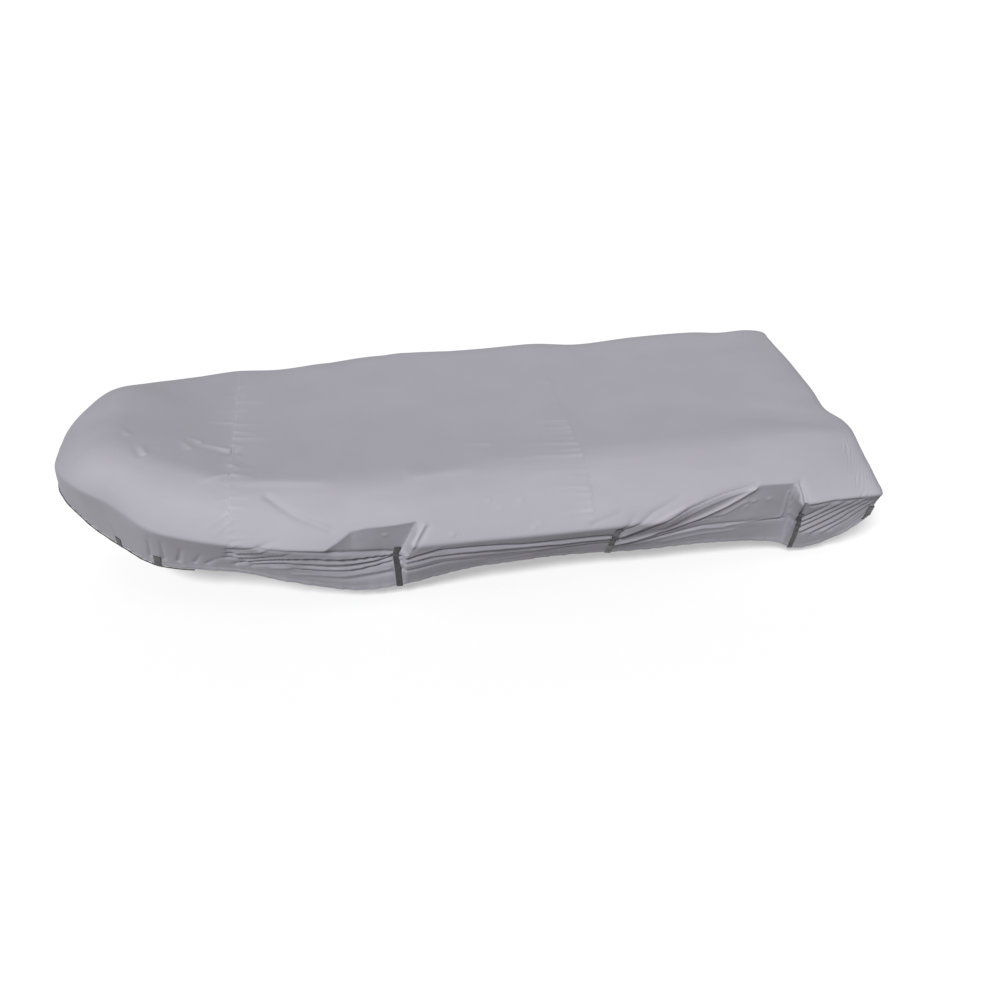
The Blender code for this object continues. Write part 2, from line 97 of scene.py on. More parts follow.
def node(tree, kind, links=(), **settings):
    """Add a shader node; settings name its properties or its input sockets, links its inputs.

    links holds pairs of an input and what feeds it: a socket, or a node's first output.
    """
    made = tree.nodes.new(kind)
    for name, value in settings.items():
        if hasattr(made, name):
            setattr(made, name, value)
        else:
            made.inputs[name.replace("_", " ")].default_value = value
    for name, source in links:
        tree.links.new(source if hasattr(source, "is_linked") else source.outputs[0],
                       made.inputs[name])
    return made


def new_finish(name, roughness):
    """A material with an empty principled shader, and its node tree."""
    made = bpy.data.materials.new(name)
    made.use_nodes = True
    shader = made.node_tree.nodes["Principled BSDF"]
    shader.inputs["Roughness"].default_value = roughness
    shader.inputs["IOR"].default_value = 1.5
    return made, made.node_tree, shader


def crossed_threads(tree, pitch_x, pitch_y):
    """Weave on the metres of the piece's own cut: the product of two waves that cross.

    A wave of scale s repeats every pi / 10 s, and here after two threads, as a plain weave does.
    """
    cut = node(tree, "ShaderNodeUVMap", uv_map="cut")
    warp, weft = (node(tree, "ShaderNodeTexWave", [("Vector", cut)], bands_direction=axis,
                       Scale=0.5 * np.pi / pitch / 10)
                  for axis, pitch in (("X", pitch_x), ("Y", pitch_y)))
    return node(tree, "ShaderNodeMath", [(0, warp.outputs["Fac"]), (1, weft.outputs["Fac"])],
                operation="MULTIPLY")


def coated_polyester():
    """Woven cloth: crossed threads, a dye that is a little uneven, and painted highlights on fold
    crests.
    """
    made, tree, shader = new_finish("coated_polyester_woven", 0.7)
    shader.inputs["Specular IOR Level"].default_value = 0.3
    weave = crossed_threads(tree, WEAVE_PITCH, WEAVE_PITCH)
    place = node(tree, "ShaderNodeTexCoord").outputs["Object"]
    cloudy = node(tree, "ShaderNodeTexNoise", [("Vector", place)], Scale=3.2, Detail=3.0)
    dyed = node(tree, "ShaderNodeMapRange", [(0, cloudy.outputs["Fac"])],
                From_Min=0.3, From_Max=0.7)
    ground = node(tree, "ShaderNodeMix", [(0, dyed)], data_type="RGBA",
                  A=linear(CLOTH_SHADE), B=linear(CLOTH_GREY))
    # painted highlight: the crests of the folds are made lighter by their height
    crest_highlight_mask = node(tree, "ShaderNodeAttribute", attribute_name="crest")
    painted_crest_highlight = node(tree, "ShaderNodeMix", [(0, crest_highlight_mask.outputs["Fac"]),
                                        ("A", ground.outputs["Result"])],
                data_type="RGBA", B=linear(CLOTH_CREST_HIGHLIGHT))
    tree.links.new(painted_crest_highlight.outputs["Result"], shader.inputs["Base Color"])
    crumple = node(tree, "ShaderNodeTexNoise", [("Vector", place)], Scale=45.0, Detail=4.0)
    fine = node(tree, "ShaderNodeBump", [("Height", weave)], Strength=0.15, Distance=0.0004)
    coarse = node(tree, "ShaderNodeBump", [("Height", crumple.outputs["Fac"]), ("Normal", fine)],
                  Strength=0.25, Distance=0.002)
    tree.links.new(coarse.outputs["Normal"], shader.inputs["Normal"])
    shader.inputs["Sheen Weight"].default_value = 0.12
    shader.inputs["Sheen Roughness"].default_value = 0.4
    return made


CLOTH = coated_polyester()

# ---------------------------------------------------------------- the draped shape
# The cloth is cut to round sides that meet in a raised blunt bow, and spans the middle between
# them.  Each station, from the middle of the bow to the middle of the stern, gives the crease
# at the top of the side, the widest line and the hem, each (x, y, z), and the side's bulge.
BOW_SEAM = -1.120
STERN_SEAM = 0.620
STATIONS = np.array([
    # the last two columns: how much lower, and how much further aft, the far crease lies
    # crease               widest line           hem                    bulge  lower  aft
    (-1.760, 0.000, 0.110, -2.040, 0.000, -0.050, -2.057, 0.000, -0.165, 0.035, 0.000, 0.000),
    (-1.755, 0.180, 0.110, -2.022, 0.215, -0.052, -2.034, 0.170, -0.224, 0.035, 0.014, 0.000),
    (-1.725, 0.330, 0.105, -1.900, 0.415, -0.060, -1.906, 0.278, -0.353, 0.035, 0.022, 0.000),
    (-1.610, 0.445, 0.080, -1.730, 0.545, -0.100, -1.750, 0.410, -0.417, 0.032, 0.010, 0.000),
    (-1.460, 0.530, 0.050, -1.530, 0.715, -0.170, -1.567, 0.562, -0.460, 0.030, 0.006, 0.000),
    (-1.300, 0.600, 0.025, -1.340, 0.795, -0.203, -1.351, 0.655, -0.462, 0.030, 0.006, 0.000),
    (-1.120, 0.660, 0.000, -1.120, 0.873, -0.218, -1.120, 0.720, -0.469, 0.030, 0.010, 0.000),
    (-0.900, 0.690, -0.010, -0.900, 0.930, -0.240, -0.904, 0.755, -0.528, 0.030, -0.010, 0.000),
    (-0.600, 0.745, -0.016, -0.600, 0.962, -0.255, -0.600, 0.773, -0.608, 0.030, -0.004, 0.000),
    (-0.350, 0.765, -0.020, -0.350, 0.972, -0.262, -0.350, 0.783, -0.607, 0.030, 0.010, 0.000),
    (0.000, 0.745, -0.018, 0.000, 0.980, -0.265, 0.004, 0.803, -0.536, 0.030, 0.008, 0.000),
    (0.300, 0.740, -0.018, 0.300, 0.984, -0.267, 0.307, 0.798, -0.524, 0.030, 0.006, 0.000),
    (0.620, 0.730, -0.018, 0.620, 0.985, -0.268, 0.620, 0.783, -0.536, 0.030, 0.012, 0.000),
    (0.900, 0.730, -0.018, 0.900, 0.985, -0.268, 0.913, 0.788, -0.550, 0.030, -0.018, 0.000),
    (1.250, 0.725, -0.018, 1.250, 0.985, -0.268, 1.260, 0.793, -0.545, 0.030, 0.000, 0.000),
    (1.600, 0.715, -0.018, 1.600, 0.982, -0.265, 1.610, 0.780, -0.590, 0.028, 0.004, 0.000),
    (1.800, 0.705, -0.020, 1.810, 0.980, -0.255, 1.785, 0.780, -0.655, 0.020, -0.012, 0.000),
    (1.950, 0.690, -0.026, 1.990, 0.978, -0.245, 1.980, 0.815, -0.576, 0.010, 0.006, 0.000),
    (2.046, 0.655, -0.036, 2.112, 0.965, -0.245, 2.105, 0.875, -0.423, 0.000, 0.010, 0.004),
    (2.058, 0.550, -0.034, 2.100, 0.760, -0.300, 2.105, 0.740, -0.460, 0.004, 0.010, -0.006),
    (2.008, 0.410, -0.022, 2.048, 0.450, -0.300, 2.055, 0.450, -0.450, 0.010, 0.010, 0.034),
    (2.022, 0.200, -0.010, 2.050, 0.220, -0.300, 2.052, 0.220, -0.440, 0.010, 0.005, 0.014),
    (2.030, 0.000, -0.008, 2.052, 0.000, -0.300, 2.054, 0.000, -0.440, 0.010, 0.000, 0.000),
])
AT_BOW_SEAM, AT_STERN_SEAM, AT_CORNER, AT_STERN = 6, 12, 18, 22
LIFT = 0.012             # raises the table so that the underside of the top lies at zero
SPINE = -0.010           # height of the centre line in the table
BOW_RISE, RISE_FROM = 0.016, -0.600
SHOULDER, SHOULDER_FALL = 0.84, 0.018
TAUT_POWER, LEVEL_POWER = 1.3, 4
# how far the cloth below the widest line stands out of its chord, by run; negative is drawn in
UNDER_BELLY = np.array([
    (-2.6, 0.003), (-1.60, 0.002), (-1.20, -0.014), (-0.95, -0.022), (-0.50, -0.014),
    (-0.25, 0.000), (1.45, 0.002), (1.75, -0.018), (2.06, -0.014), (2.15, -0.002),
    (2.40, 0.003)])
# over how much cloth the top turns down into the side, by run: widely round the bow and
# before the first strap, sharply between
EDGE_ROUNDING = np.array([
    (-2.6, 0.150), (-1.75, 0.140), (-1.40, 0.090), (-1.15, 0.030), (-0.75, 0.018),
    (-0.60, 0.030), (-0.30, 0.030), (-0.20, 0.012), (-0.08, 0.012), (0.10, 0.022),
    (0.60, 0.026), (0.75, 0.022), (1.30, 0.030), (1.60, 0.060), (1.90, 0.040), (2.40, 0.030)])
# and over how much it levels out at the shoulder
SHOULDER_ROUNDING = np.array([
    (-2.6, 0.240), (-1.60, 0.200), (-1.30, 0.120), (-1.05, 0.040), (2.40, 0.040)])
# how late the top falls from its shoulder to that edge: 2 at once, 8 only at the very edge
EDGE_POWER = np.array([
    (-2.6, 2.0), (-1.40, 2.4), (-1.10, 5.0), (-0.95, 9.0), (-0.70, 7.0), (-0.60, 2.2),
    (-0.28, 2.0), (-0.19, 9.0), (-0.05, 8.0), (0.12, 2.2), (0.62, 2.0), (1.20, 2.4),
    (1.70, 3.0), (2.40, 3.0)])
BREAK_ROUNDING = 0.016   # over how much the side turns in under the widest line
CALM_SHARE = 10          # the calmed corner averages over a tenth of the rows either way
NOWHERE = 1e-9           # the least length that a vector is divided by


def smooth_step(value):
    """3 v^2 - 2 v^3, for a value v held between 0 and 1."""
    value = np.clip(value, 0.0, 1.0)
    return value * value * (3 - 2 * value)


def unit(vectors):
    """Vectors divided by their own lengths."""
    return vectors / np.maximum(np.linalg.norm(vectors, axis=-1, keepdims=True), NOWHERE)


def read_stations(rows):
    """The station table at any row number: a cubic through its rows with finite slopes."""
    slope = np.gradient(STATIONS, axis=0)
    low = np.clip(np.floor(rows).astype(int), 0, AT_STERN - 1)
    t = (rows - low)[:, None]
    return ((2 * t**3 - 3 * t**2 + 1) * STATIONS[low] + (t**3 - 2 * t**2 + t) * slope[low]
            + (3 * t**2 - 2 * t**3) * STATIONS[low + 1] + (t**3 - t**2) * slope[low + 1])


def run_of(rows):
    """Distance along the widest line: x between the seams and the stern corner, arc beyond."""
    dense = np.linspace(0, AT_STERN, 4401)
    side = read_stations(dense)[:, 3:6]
    arc = np.concatenate([[0.0], np.cumsum(np.linalg.norm(np.diff(side, axis=0), axis=1))])
    seam = np.interp(AT_BOW_SEAM, dense, arc)
    corner = np.interp(AT_CORNER, dense, arc)
    run = np.where(dense < AT_BOW_SEAM, BOW_SEAM + arc - seam, side[:, 0])
    run = np.where(dense > AT_CORNER, STATIONS[AT_CORNER, 3] + arc - corner, run)
    return np.interp(rows, dense, run)


def distance_along(lines, start):
    """Distance along each line of the grid from one of its places, negative before it."""
    step = np.linalg.norm(np.diff(lines, axis=1), axis=2)
    reach = np.concatenate([np.zeros((len(lines), 1)), np.cumsum(step, axis=1)], axis=1)
    return reach - reach[:, start:start + 1]


def round_corner(lines, at, radius):
    """Ease the corner at one place of every line.

    A place at distance s from the corner moves by (before + after) (r - s)^2 / 4r, where before
    and after are the unit directions away from the corner and r is the radius.
    """
    away = abs(distance_along(lines, at))
    radius = np.broadcast_to(radius, len(lines))[:, None]
    both = unit(lines[:, at - 1] - lines[:, at]) + unit(lines[:, at + 1] - lines[:, at])
    return lines + both[:, None] * (np.clip(radius - away, 0, None)**2 / (4 * radius))[..., None]


def line_shares(inner, outer, flank, under, power=1.0):
    """Places of a line: shares of its way to the crease, on to the widest line, and to the hem.

    One place of the top lies on the shoulder; inner and outer count those on either side of it.
    """
    top = np.concatenate([SHOULDER * np.linspace(0, 1, inner)**power,
                          np.linspace(SHOULDER, 1, outer + 1)[1:-1]])
    return top, np.linspace(0, 1, flank)[:-1], np.linspace(0, 1, under)


def calm_corner(height, rows, f):
    """Average the top's height over neighbouring lines where they fan out to the stern corner.

    It leaves the crease, the seam and the middle of the stern as they are, and so takes out
    the ridge that the lines would draw from the seam to the corner.
    """
    reach = int(len(rows) / CALM_SHARE)
    padded = np.pad(height, ((reach, reach), (0, 0)), mode="edge").cumsum(axis=0)
    even = padded[2 * reach:] - np.pad(padded, ((1, 0), (0, 0)))[:-2 * reach - 1]
    even = even / (2 * reach + 1)
    share = smooth_step((rows - AT_STERN_SEAM - 0.3) / 1.5) * smooth_step((AT_STERN - rows) / 1.5)
    return height + (even - height) * share[:, None] * (1 - f**8)


def draped_half(rows, far, top, flank, under):
    """Half the draped cover, as a grid rows x places x (x, y, z) on the +Y side.

    top, flank and under are shares of the way from the centre line to the crease, from there
    to the widest line, and on to the hem.  The top rises from the centre line to the shoulder
    by a power of its share and eases to the crease; the flank is a chord with a bulge; the
    underside is a chord with a sine belly.
    """
    table = read_stations(rows)
    crease, side, hem, bulge = table[:, 0:3].copy(), table[:, 3:6], table[:, 6:9], table[:, 9]
    dip = table[:, 10:11] if far else 0.0
    crease[:, 0] += table[:, 11] * far
    spine = np.zeros_like(crease)
    spine[:, 0] = np.clip(crease[:, 0], BOW_SEAM, STERN_SEAM)
    spine[:, 2] = SPINE + BOW_RISE * smooth_step((RISE_FROM - spine[:, 0]) / (RISE_FROM - BOW_SEAM))

    f = top[None, :]
    sheet = spine[:, None] * (1 - f[..., None]) + crease[:, None] * f[..., None]
    flat = crease[:, 2:3] + SHOULDER_FALL
    power = TAUT_POWER + (LEVEL_POWER - TAUT_POWER) * smooth_step(rows - AT_STERN_SEAM)[:, None]
    rise = np.clip(f / SHOULDER, 0, 1)**power
    late = np.interp(run_of(rows), *EDGE_POWER.T)[:, None]
    fall = np.clip((f - SHOULDER) / (1 - SHOULDER), 0, 1)**late
    sheet[:, :, 2] = spine[:, 2:3] + (flat - spine[:, 2:3]) * rise - SHOULDER_FALL * fall
    sheet[:, :, 2] += dip * f**LEVEL_POWER
    sheet[:, :, 2] = calm_corner(sheet[:, :, 2], rows, f)
    crease[:, 2:3] += dip

    f = flank[None, :, None]
    chord = side - crease
    away = chord * (1, 1, 0)
    run = np.linalg.norm(away, axis=1, keepdims=True)
    slant = np.linalg.norm(chord, axis=1, keepdims=True)
    outward = away / run * (-chord[:, 2:3] / slant)
    outward[:, 2:3] = run / slant
    round_side = crease[:, None] * (1 - f) + side[:, None] * f
    round_side += 4 * f * (1 - f) * bulge[:, None, None] * outward[:, None]

    f = under[None, :, None]
    below = side[:, None] * (1 - f) + hem[:, None] * f
    belly = np.interp(run_of(rows), *UNDER_BELLY.T)[:, None, None]
    below += belly * np.sin(np.pi * f) * (away / run)[:, None]
    return np.concatenate([sheet, round_side, below], axis=1) + (0, 0, LIFT)


# ---------------------------------------------------------------- folds, puckers and seams
# The cloth is drawn in by its straps and hem and is longer than its side needs, so it stands
# in ridges and troughs that run to the straps and to the foot of the bow seam.  The thread of
# the seams draws it up into short puckers across them.
FOLDS_FADE = 0.25
# Folds of the near side: the (run, drop) that one follows, drop being the distance down the
# cloth from the crease; its depth at either end in metres, a ridge negative; its width; and
# whether it is a soft bell or has a crest.
SOFT, CREST = True, False
NEAR_FOLDS = [
    # a shallow slack behind the bow seam
    ([(-0.94, 0.064), (-0.873, 0.122), (-0.805, 0.165), (-0.714, 0.200), (-0.655, 0.222)],
     0.007, 0.007, 0.019, SOFT),
    # troughs from the foot of the bow seam, aft to the first strap
    ([(-1.153, 0.364), (-1.079, 0.346), (-0.994, 0.310), (-0.910, 0.283)],
     0.015, 0.002, 0.010, CREST),
    ([(-1.165, 0.421), (-1.088, 0.408), (-0.965, 0.358)], 0.013, 0.003, 0.009, CREST),
    ([(-1.182, 0.472), (-1.050, 0.462), (-0.950, 0.412), (-0.859, 0.379)],
     0.012, 0.005, 0.009, CREST),
    ([(-1.141, 0.528), (-0.929, 0.463), (-0.818, 0.438), (-0.620, 0.459), (-0.450, 0.463),
      (-0.365, 0.474)], 0.012, 0.018, 0.010, CREST),
    ([(-1.060, 0.540), (-0.831, 0.503), (-0.696, 0.532), (-0.496, 0.511), (-0.373, 0.489)],
     0.008, 0.016, 0.009, CREST),
    ([(-0.860, 0.550), (-0.723, 0.575), (-0.541, 0.566), (-0.376, 0.518)],
     0.006, 0.014, 0.011, CREST),
    ([(-0.800, 0.625), (-0.600, 0.642), (-0.385, 0.608)], 0.003, 0.009, 0.013, CREST),
    ([(-1.000, 0.330), (-0.880, 0.350), (-0.700, 0.358), (-0.450, 0.412), (-0.375, 0.436)],
     0.010, 0.014, 0.016, SOFT),
    # and the narrow ridges between them
    ([(-1.120, 0.392), (-1.030, 0.372), (-0.950, 0.322)], -0.008, -0.003, 0.007, CREST),
    ([(-1.130, 0.445), (-1.020, 0.432), (-0.900, 0.385)], -0.008, -0.004, 0.007, CREST),
    ([(-1.080, 0.492), (-0.900, 0.430), (-0.760, 0.405), (-0.560, 0.432), (-0.385, 0.458)],
     -0.007, -0.009, 0.007, CREST),
    ([(-1.060, 0.512), (-0.900, 0.478), (-0.760, 0.478), (-0.560, 0.484), (-0.385, 0.480)],
     -0.007, -0.009, 0.007, CREST),
    ([(-0.960, 0.555), (-0.780, 0.540), (-0.600, 0.552), (-0.385, 0.512)],
     -0.006, -0.008, 0.007, CREST),
    ([(-0.860, 0.605), (-0.650, 0.615), (-0.390, 0.575)], -0.004, -0.006, 0.007, CREST),
    # aft of the first strap
    ([(-0.336, 0.462), (-0.292, 0.360), (-0.256, 0.300), (-0.208, 0.232)],
     -0.010, -0.008, 0.007, CREST),
    ([(-0.330, 0.462), (-0.240, 0.407), (-0.150, 0.368)], -0.006, -0.003, 0.007, CREST),
    ([(-0.296, 0.400), (-0.240, 0.310), (-0.192, 0.245)], 0.010, 0.008, 0.008, CREST),
    # long troughs and ridges below the widest line, from the first strap to the second
    ([(-0.340, 0.482), (-0.250, 0.433), (-0.145, 0.406), (0.003, 0.418), (0.166, 0.430),
      (0.266, 0.457), (0.451, 0.467), (0.691, 0.474), (0.735, 0.488)],
     0.012, 0.014, 0.010, CREST),
    ([(-0.335, 0.498), (-0.200, 0.450), (-0.050, 0.448), (0.170, 0.462), (0.450, 0.500),
      (0.725, 0.505)], -0.007, -0.008, 0.007, CREST),
    ([(-0.340, 0.515), (-0.180, 0.464), (-0.050, 0.480), (0.250, 0.520), (0.500, 0.535),
      (0.730, 0.532)], 0.006, 0.008, 0.010, CREST),
    ([(-0.330, 0.535), (-0.150, 0.492), (0.050, 0.510), (0.350, 0.545), (0.720, 0.550)],
     -0.005, -0.005, 0.007, CREST),
    ([(-0.330, 0.585), (-0.120, 0.540), (0.150, 0.570)], 0.008, 0.002, 0.012, SOFT),
    ([(0.100, 0.600), (0.400, 0.575), (0.720, 0.570)], 0.002, 0.006, 0.012, SOFT),
    # rising aft of the second strap
    ([(0.611, 0.337), (0.753, 0.295)], 0.004, 0.003, 0.010, CREST),
    ([(0.755, 0.408), (0.823, 0.321)], 0.009, 0.003, 0.008, CREST),
    ([(0.765, 0.437), (0.785, 0.412), (0.916, 0.311), (1.060, 0.249)],
     0.012, 0.003, 0.009, CREST),
    ([(0.770, 0.480), (0.880, 0.388), (1.000, 0.330), (1.179, 0.268)],
     -0.008, -0.003, 0.008, CREST),
    ([(0.765, 0.500), (0.860, 0.430), (0.960, 0.370), (1.080, 0.305)],
     -0.006, -0.003, 0.007, CREST),
    ([(0.760, 0.535), (0.802, 0.517), (0.939, 0.399), (1.114, 0.312), (1.286, 0.261),
      (1.456, 0.231)], 0.020, 0.010, 0.010, CREST),
    ([(0.740, 0.597), (0.791, 0.571), (0.969, 0.497), (1.165, 0.419), (1.311, 0.352),
      (1.456, 0.250)], -0.010, -0.015, 0.010, CREST),
    ([(0.969, 0.447), (1.100, 0.372), (1.179, 0.329), (1.297, 0.293), (1.445, 0.248)],
     -0.004, -0.007, 0.008, CREST),
    ([(0.800, 0.590), (0.969, 0.535), (1.150, 0.465), (1.300, 0.430), (1.420, 0.350)],
     -0.004, -0.006, 0.008, CREST),
    ([(0.969, 0.512), (1.085, 0.468), (1.200, 0.443), (1.290, 0.447)],
     0.010, 0.005, 0.009, CREST),
    ([(0.850, 0.610), (1.050, 0.560), (1.200, 0.535), (1.330, 0.550)],
     -0.005, -0.006, 0.007, CREST),
    ([(1.000, 0.625), (1.200, 0.590), (1.380, 0.590)], -0.004, -0.005, 0.007, CREST),
    ([(0.790, 0.600), (1.000, 0.557), (1.200, 0.513), (1.340, 0.520), (1.650, 0.557)],
     0.008, 0.008, 0.010, CREST),
    # low ridges ahead of the third strap, and the upright fold behind them
    ([(1.341, 0.538), (1.629, 0.537), (1.641, 0.494), (1.639, 0.310)],
     -0.006, -0.004, 0.007, SOFT),
    ([(1.662, 0.262), (1.668, 0.400), (1.680, 0.510)], -0.008, -0.006, 0.008, SOFT),
    ([(1.690, 0.248), (1.700, 0.300), (1.712, 0.400), (1.722, 0.540)],
     0.012, 0.034, 0.011, CREST),
    # slack cloth at the head of the fan behind the third strap
    ([(1.745, 0.385), (1.850, 0.372), (2.000, 0.386)], 0.012, 0.006, 0.012, SOFT),
    # fan of troughs from the third strap to the stern end of the side
    ([(1.727, 0.554), (1.858, 0.379)], 0.016, 0.006, 0.010, CREST),
    ([(1.735, 0.589), (1.930, 0.395)], 0.016, 0.006, 0.010, CREST),
    ([(1.745, 0.632), (1.860, 0.524), (1.985, 0.409)], 0.016, 0.006, 0.010, CREST),
    ([(1.790, 0.665), (1.900, 0.567), (2.030, 0.425)], 0.014, 0.006, 0.010, CREST),
    ([(1.860, 0.676), (1.955, 0.593), (2.065, 0.436)], 0.012, 0.005, 0.010, CREST),
    ([(1.930, 0.676), (2.020, 0.578), (2.090, 0.469)], 0.010, 0.004, 0.009, CREST),
    # and the narrow ridges of that fan
    ([(1.731, 0.571), (1.894, 0.386)], -0.009, -0.004, 0.007, CREST),
    ([(1.740, 0.610), (1.958, 0.401)], -0.009, -0.004, 0.007, CREST),
    ([(1.768, 0.648), (1.880, 0.545), (2.008, 0.416)], -0.009, -0.004, 0.007, CREST),
    ([(1.825, 0.671), (1.928, 0.580), (2.048, 0.430)], -0.008, -0.004, 0.007, CREST),
    ([(1.895, 0.676), (1.988, 0.586), (2.078, 0.452)], -0.007, -0.003, 0.007, CREST),
    # gathers of the bow hem
    ([(-1.838, 0.527), (-1.850, 0.434)], 0.007, 0.002, 0.008, SOFT),
    ([(-1.580, 0.565), (-1.573, 0.407), (-1.560, 0.358)], 0.010, 0.002, 0.009, CREST),
    ([(-1.502, 0.565), (-1.502, 0.412), (-1.490, 0.376)], 0.010, 0.002, 0.009, CREST),
    ([(-1.430, 0.550), (-1.405, 0.424)], 0.008, 0.003, 0.010, SOFT),
    ([(-1.350, 0.540), (-1.310, 0.452)], 0.008, 0.002, 0.009, CREST),
    ([(-1.290, 0.540), (-1.240, 0.492), (-1.180, 0.463)], 0.008, 0.003, 0.009, CREST),
]
FAR_FOLDS = [
    ([(-1.150, 0.380), (-1.020, 0.340), (-0.900, 0.290)], 0.024, 0.005, 0.022, CREST),
    ([(-1.140, 0.470), (-0.960, 0.430), (-0.840, 0.390)], 0.022, 0.006, 0.024, CREST),
    ([(-0.360, 0.530), (-0.620, 0.470), (-0.950, 0.440)], 0.034, 0.010, 0.026, CREST),
    ([(-0.370, 0.600), (-0.600, 0.570), (-0.850, 0.540)], 0.024, 0.008, 0.028, CREST),
    ([(-0.330, 0.530), (-0.050, 0.485), (0.250, 0.500)], 0.034, 0.012, 0.026, CREST),
    ([(-0.350, 0.450), (-0.500, 0.330)], 0.022, 0.004, 0.022, CREST),
    ([(-0.330, 0.460), (-0.190, 0.290)], -0.016, -0.004, 0.020, CREST),
    ([(0.770, 0.530), (1.050, 0.420), (1.350, 0.340)], 0.036, 0.012, 0.026, CREST),
    ([(0.780, 0.580), (1.100, 0.500), (1.400, 0.450)], -0.018, -0.010, 0.026, CREST),
    ([(0.700, 0.530), (0.450, 0.500), (0.200, 0.500)], 0.030, 0.010, 0.028, CREST),
    ([(0.740, 0.460), (0.830, 0.330)], 0.022, 0.004, 0.022, CREST),
    ([(1.690, 0.540), (1.500, 0.470), (1.300, 0.430)], 0.032, 0.010, 0.026, CREST),
    ([(1.730, 0.530), (1.900, 0.380)], 0.024, 0.006, 0.020, CREST),
    ([(1.740, 0.600), (1.960, 0.410)], 0.026, 0.006, 0.020, CREST),
    ([(1.780, 0.650), (2.030, 0.430)], 0.022, 0.006, 0.020, CREST),
]
# Hollows: the cloth spans straight from a ridge of the side down to a strap.  Each place gives
# the run, the drops of the head and the foot of the span, and how far in its foot is drawn;
# then come the (drop, run) points of its steep edge towards the stern, and that edge's width.
NEAR_HOLLOWS = [
    ([(-0.780, 0.365, 0.400, 0.000), (-0.700, 0.335, 0.395, 0.003), (-0.620, 0.280, 0.392, 0.010),
      (-0.560, 0.232, 0.395, 0.026), (-0.480, 0.216, 0.402, 0.046), (-0.418, 0.214, 0.412, 0.060),
      (-0.200, 0.206, 0.425, 0.080)],
     [(0.206, -0.236), (0.274, -0.258), (0.350, -0.284), (0.430, -0.318)], 0.018),
    ([(0.800, 0.500, 0.510, 0.000), (0.940, 0.396, 0.500, 0.015), (1.110, 0.312, 0.490, 0.030),
      (1.290, 0.261, 0.495, 0.040), (1.460, 0.233, 0.515, 0.046), (1.750, 0.248, 0.550, 0.052)],
     [(0.247, 1.670), (0.555, 1.692)], 0.016),
]
# Small low bumps of the near side: run, drop, height and radius
NEAR_BUMPS = [
    (0.114, 0.156, 0.003, 0.012), (-0.076, 0.298, 0.004, 0.012), (-0.398, 0.282, 0.004, 0.012),
    (0.322, 0.314, 0.003, 0.012), (1.459, 0.359, 0.005, 0.014), (1.423, 0.396, 0.004, 0.012),
    (1.542, 0.359, 0.004, 0.013), (0.351, 0.299, 0.002, 0.020), (0.166, 0.196, 0.002, 0.016),
    (0.269, 0.172, 0.002, 0.018),
]
# Puckers of the seams: from the seam (x, place) out to (x, place), height and width.  On the
# top the place is y, on the side of the cover it is the drop.
TOP_PUCKERS = [
    (-1.118, 0.430, -1.050, 0.440, 0.0012, 0.008), (-1.118, 0.330, -1.030, 0.318, 0.0014, 0.008),
    (-1.118, 0.243, -0.913, 0.206, 0.0022, 0.009), (-1.118, 0.144, -0.982, 0.113, 0.0020, 0.008),
    (-1.118, 0.080, -1.050, 0.070, 0.0014, 0.008), (-1.118, -0.022, -0.978, -0.045, 0.0020, 0.009),
    (-1.118, -0.111, -0.973, -0.159, 0.0024, 0.009), (-1.118, -0.188, -0.892, -0.219, 0.0026, 0.009),
    (-1.118, -0.262, -1.040, -0.300, 0.0020, 0.010), (-1.118, -0.320, -0.998, -0.531, -0.0045, 0.018),
    (-1.100, -0.360, -1.010, -0.490, 0.0040, 0.014), (-1.118, -0.480, -1.060, -0.540, 0.0030, 0.012),
    (-1.110, -0.587, -0.985, -0.625, 0.0035, 0.012),
    (-1.122, 0.300, -1.200, 0.300, 0.0010, 0.008), (-1.122, 0.000, -1.269, 0.000, 0.0018, 0.009),
    (-1.122, 0.130, -1.240, 0.140, 0.0010, 0.008), (-1.122, -0.331, -1.330, -0.236, 0.0040, 0.012),
    (-1.122, -0.365, -1.290, -0.290, -0.0025, 0.012), (-1.270, -0.247, -1.370, -0.187, 0.0028, 0.010),
    (-1.317, -0.333, -1.393, -0.214, 0.0030, 0.012), (-1.122, -0.587, -1.280, -0.632, 0.0030, 0.010),
    (-1.122, -0.480, -1.190, -0.480, 0.0014, 0.009),
    (-1.625, -0.236, -1.675, -0.138, 0.0030, 0.011), (-1.528, -0.418, -1.571, -0.300, 0.0035, 0.012),
    (-1.548, -0.430, -1.596, -0.320, -0.0025, 0.010),
    (0.622, -0.320, 0.440, -0.278, 0.0022, 0.009), (0.622, -0.362, 0.520, -0.340, 0.0016, 0.008),
    (0.622, -0.400, 0.455, -0.364, 0.0022, 0.009), (0.622, -0.440, 0.470, -0.424, 0.0018, 0.009),
    (0.190, -0.494, 0.030, -0.455, 0.0020, 0.010), (0.622, -0.510, 0.500, -0.500, 0.0012, 0.008),
    (0.622, -0.580, 0.250, -0.500, 0.0024, 0.010), (0.622, -0.640, 0.400, -0.610, 0.0016, 0.009),
    (0.622, -0.690, 0.180, -0.652, 0.0024, 0.010), (0.622, 0.180, 0.500, 0.170, 0.0012, 0.010),
    (0.622, 0.480, 0.480, 0.470, 0.0014, 0.010),
]
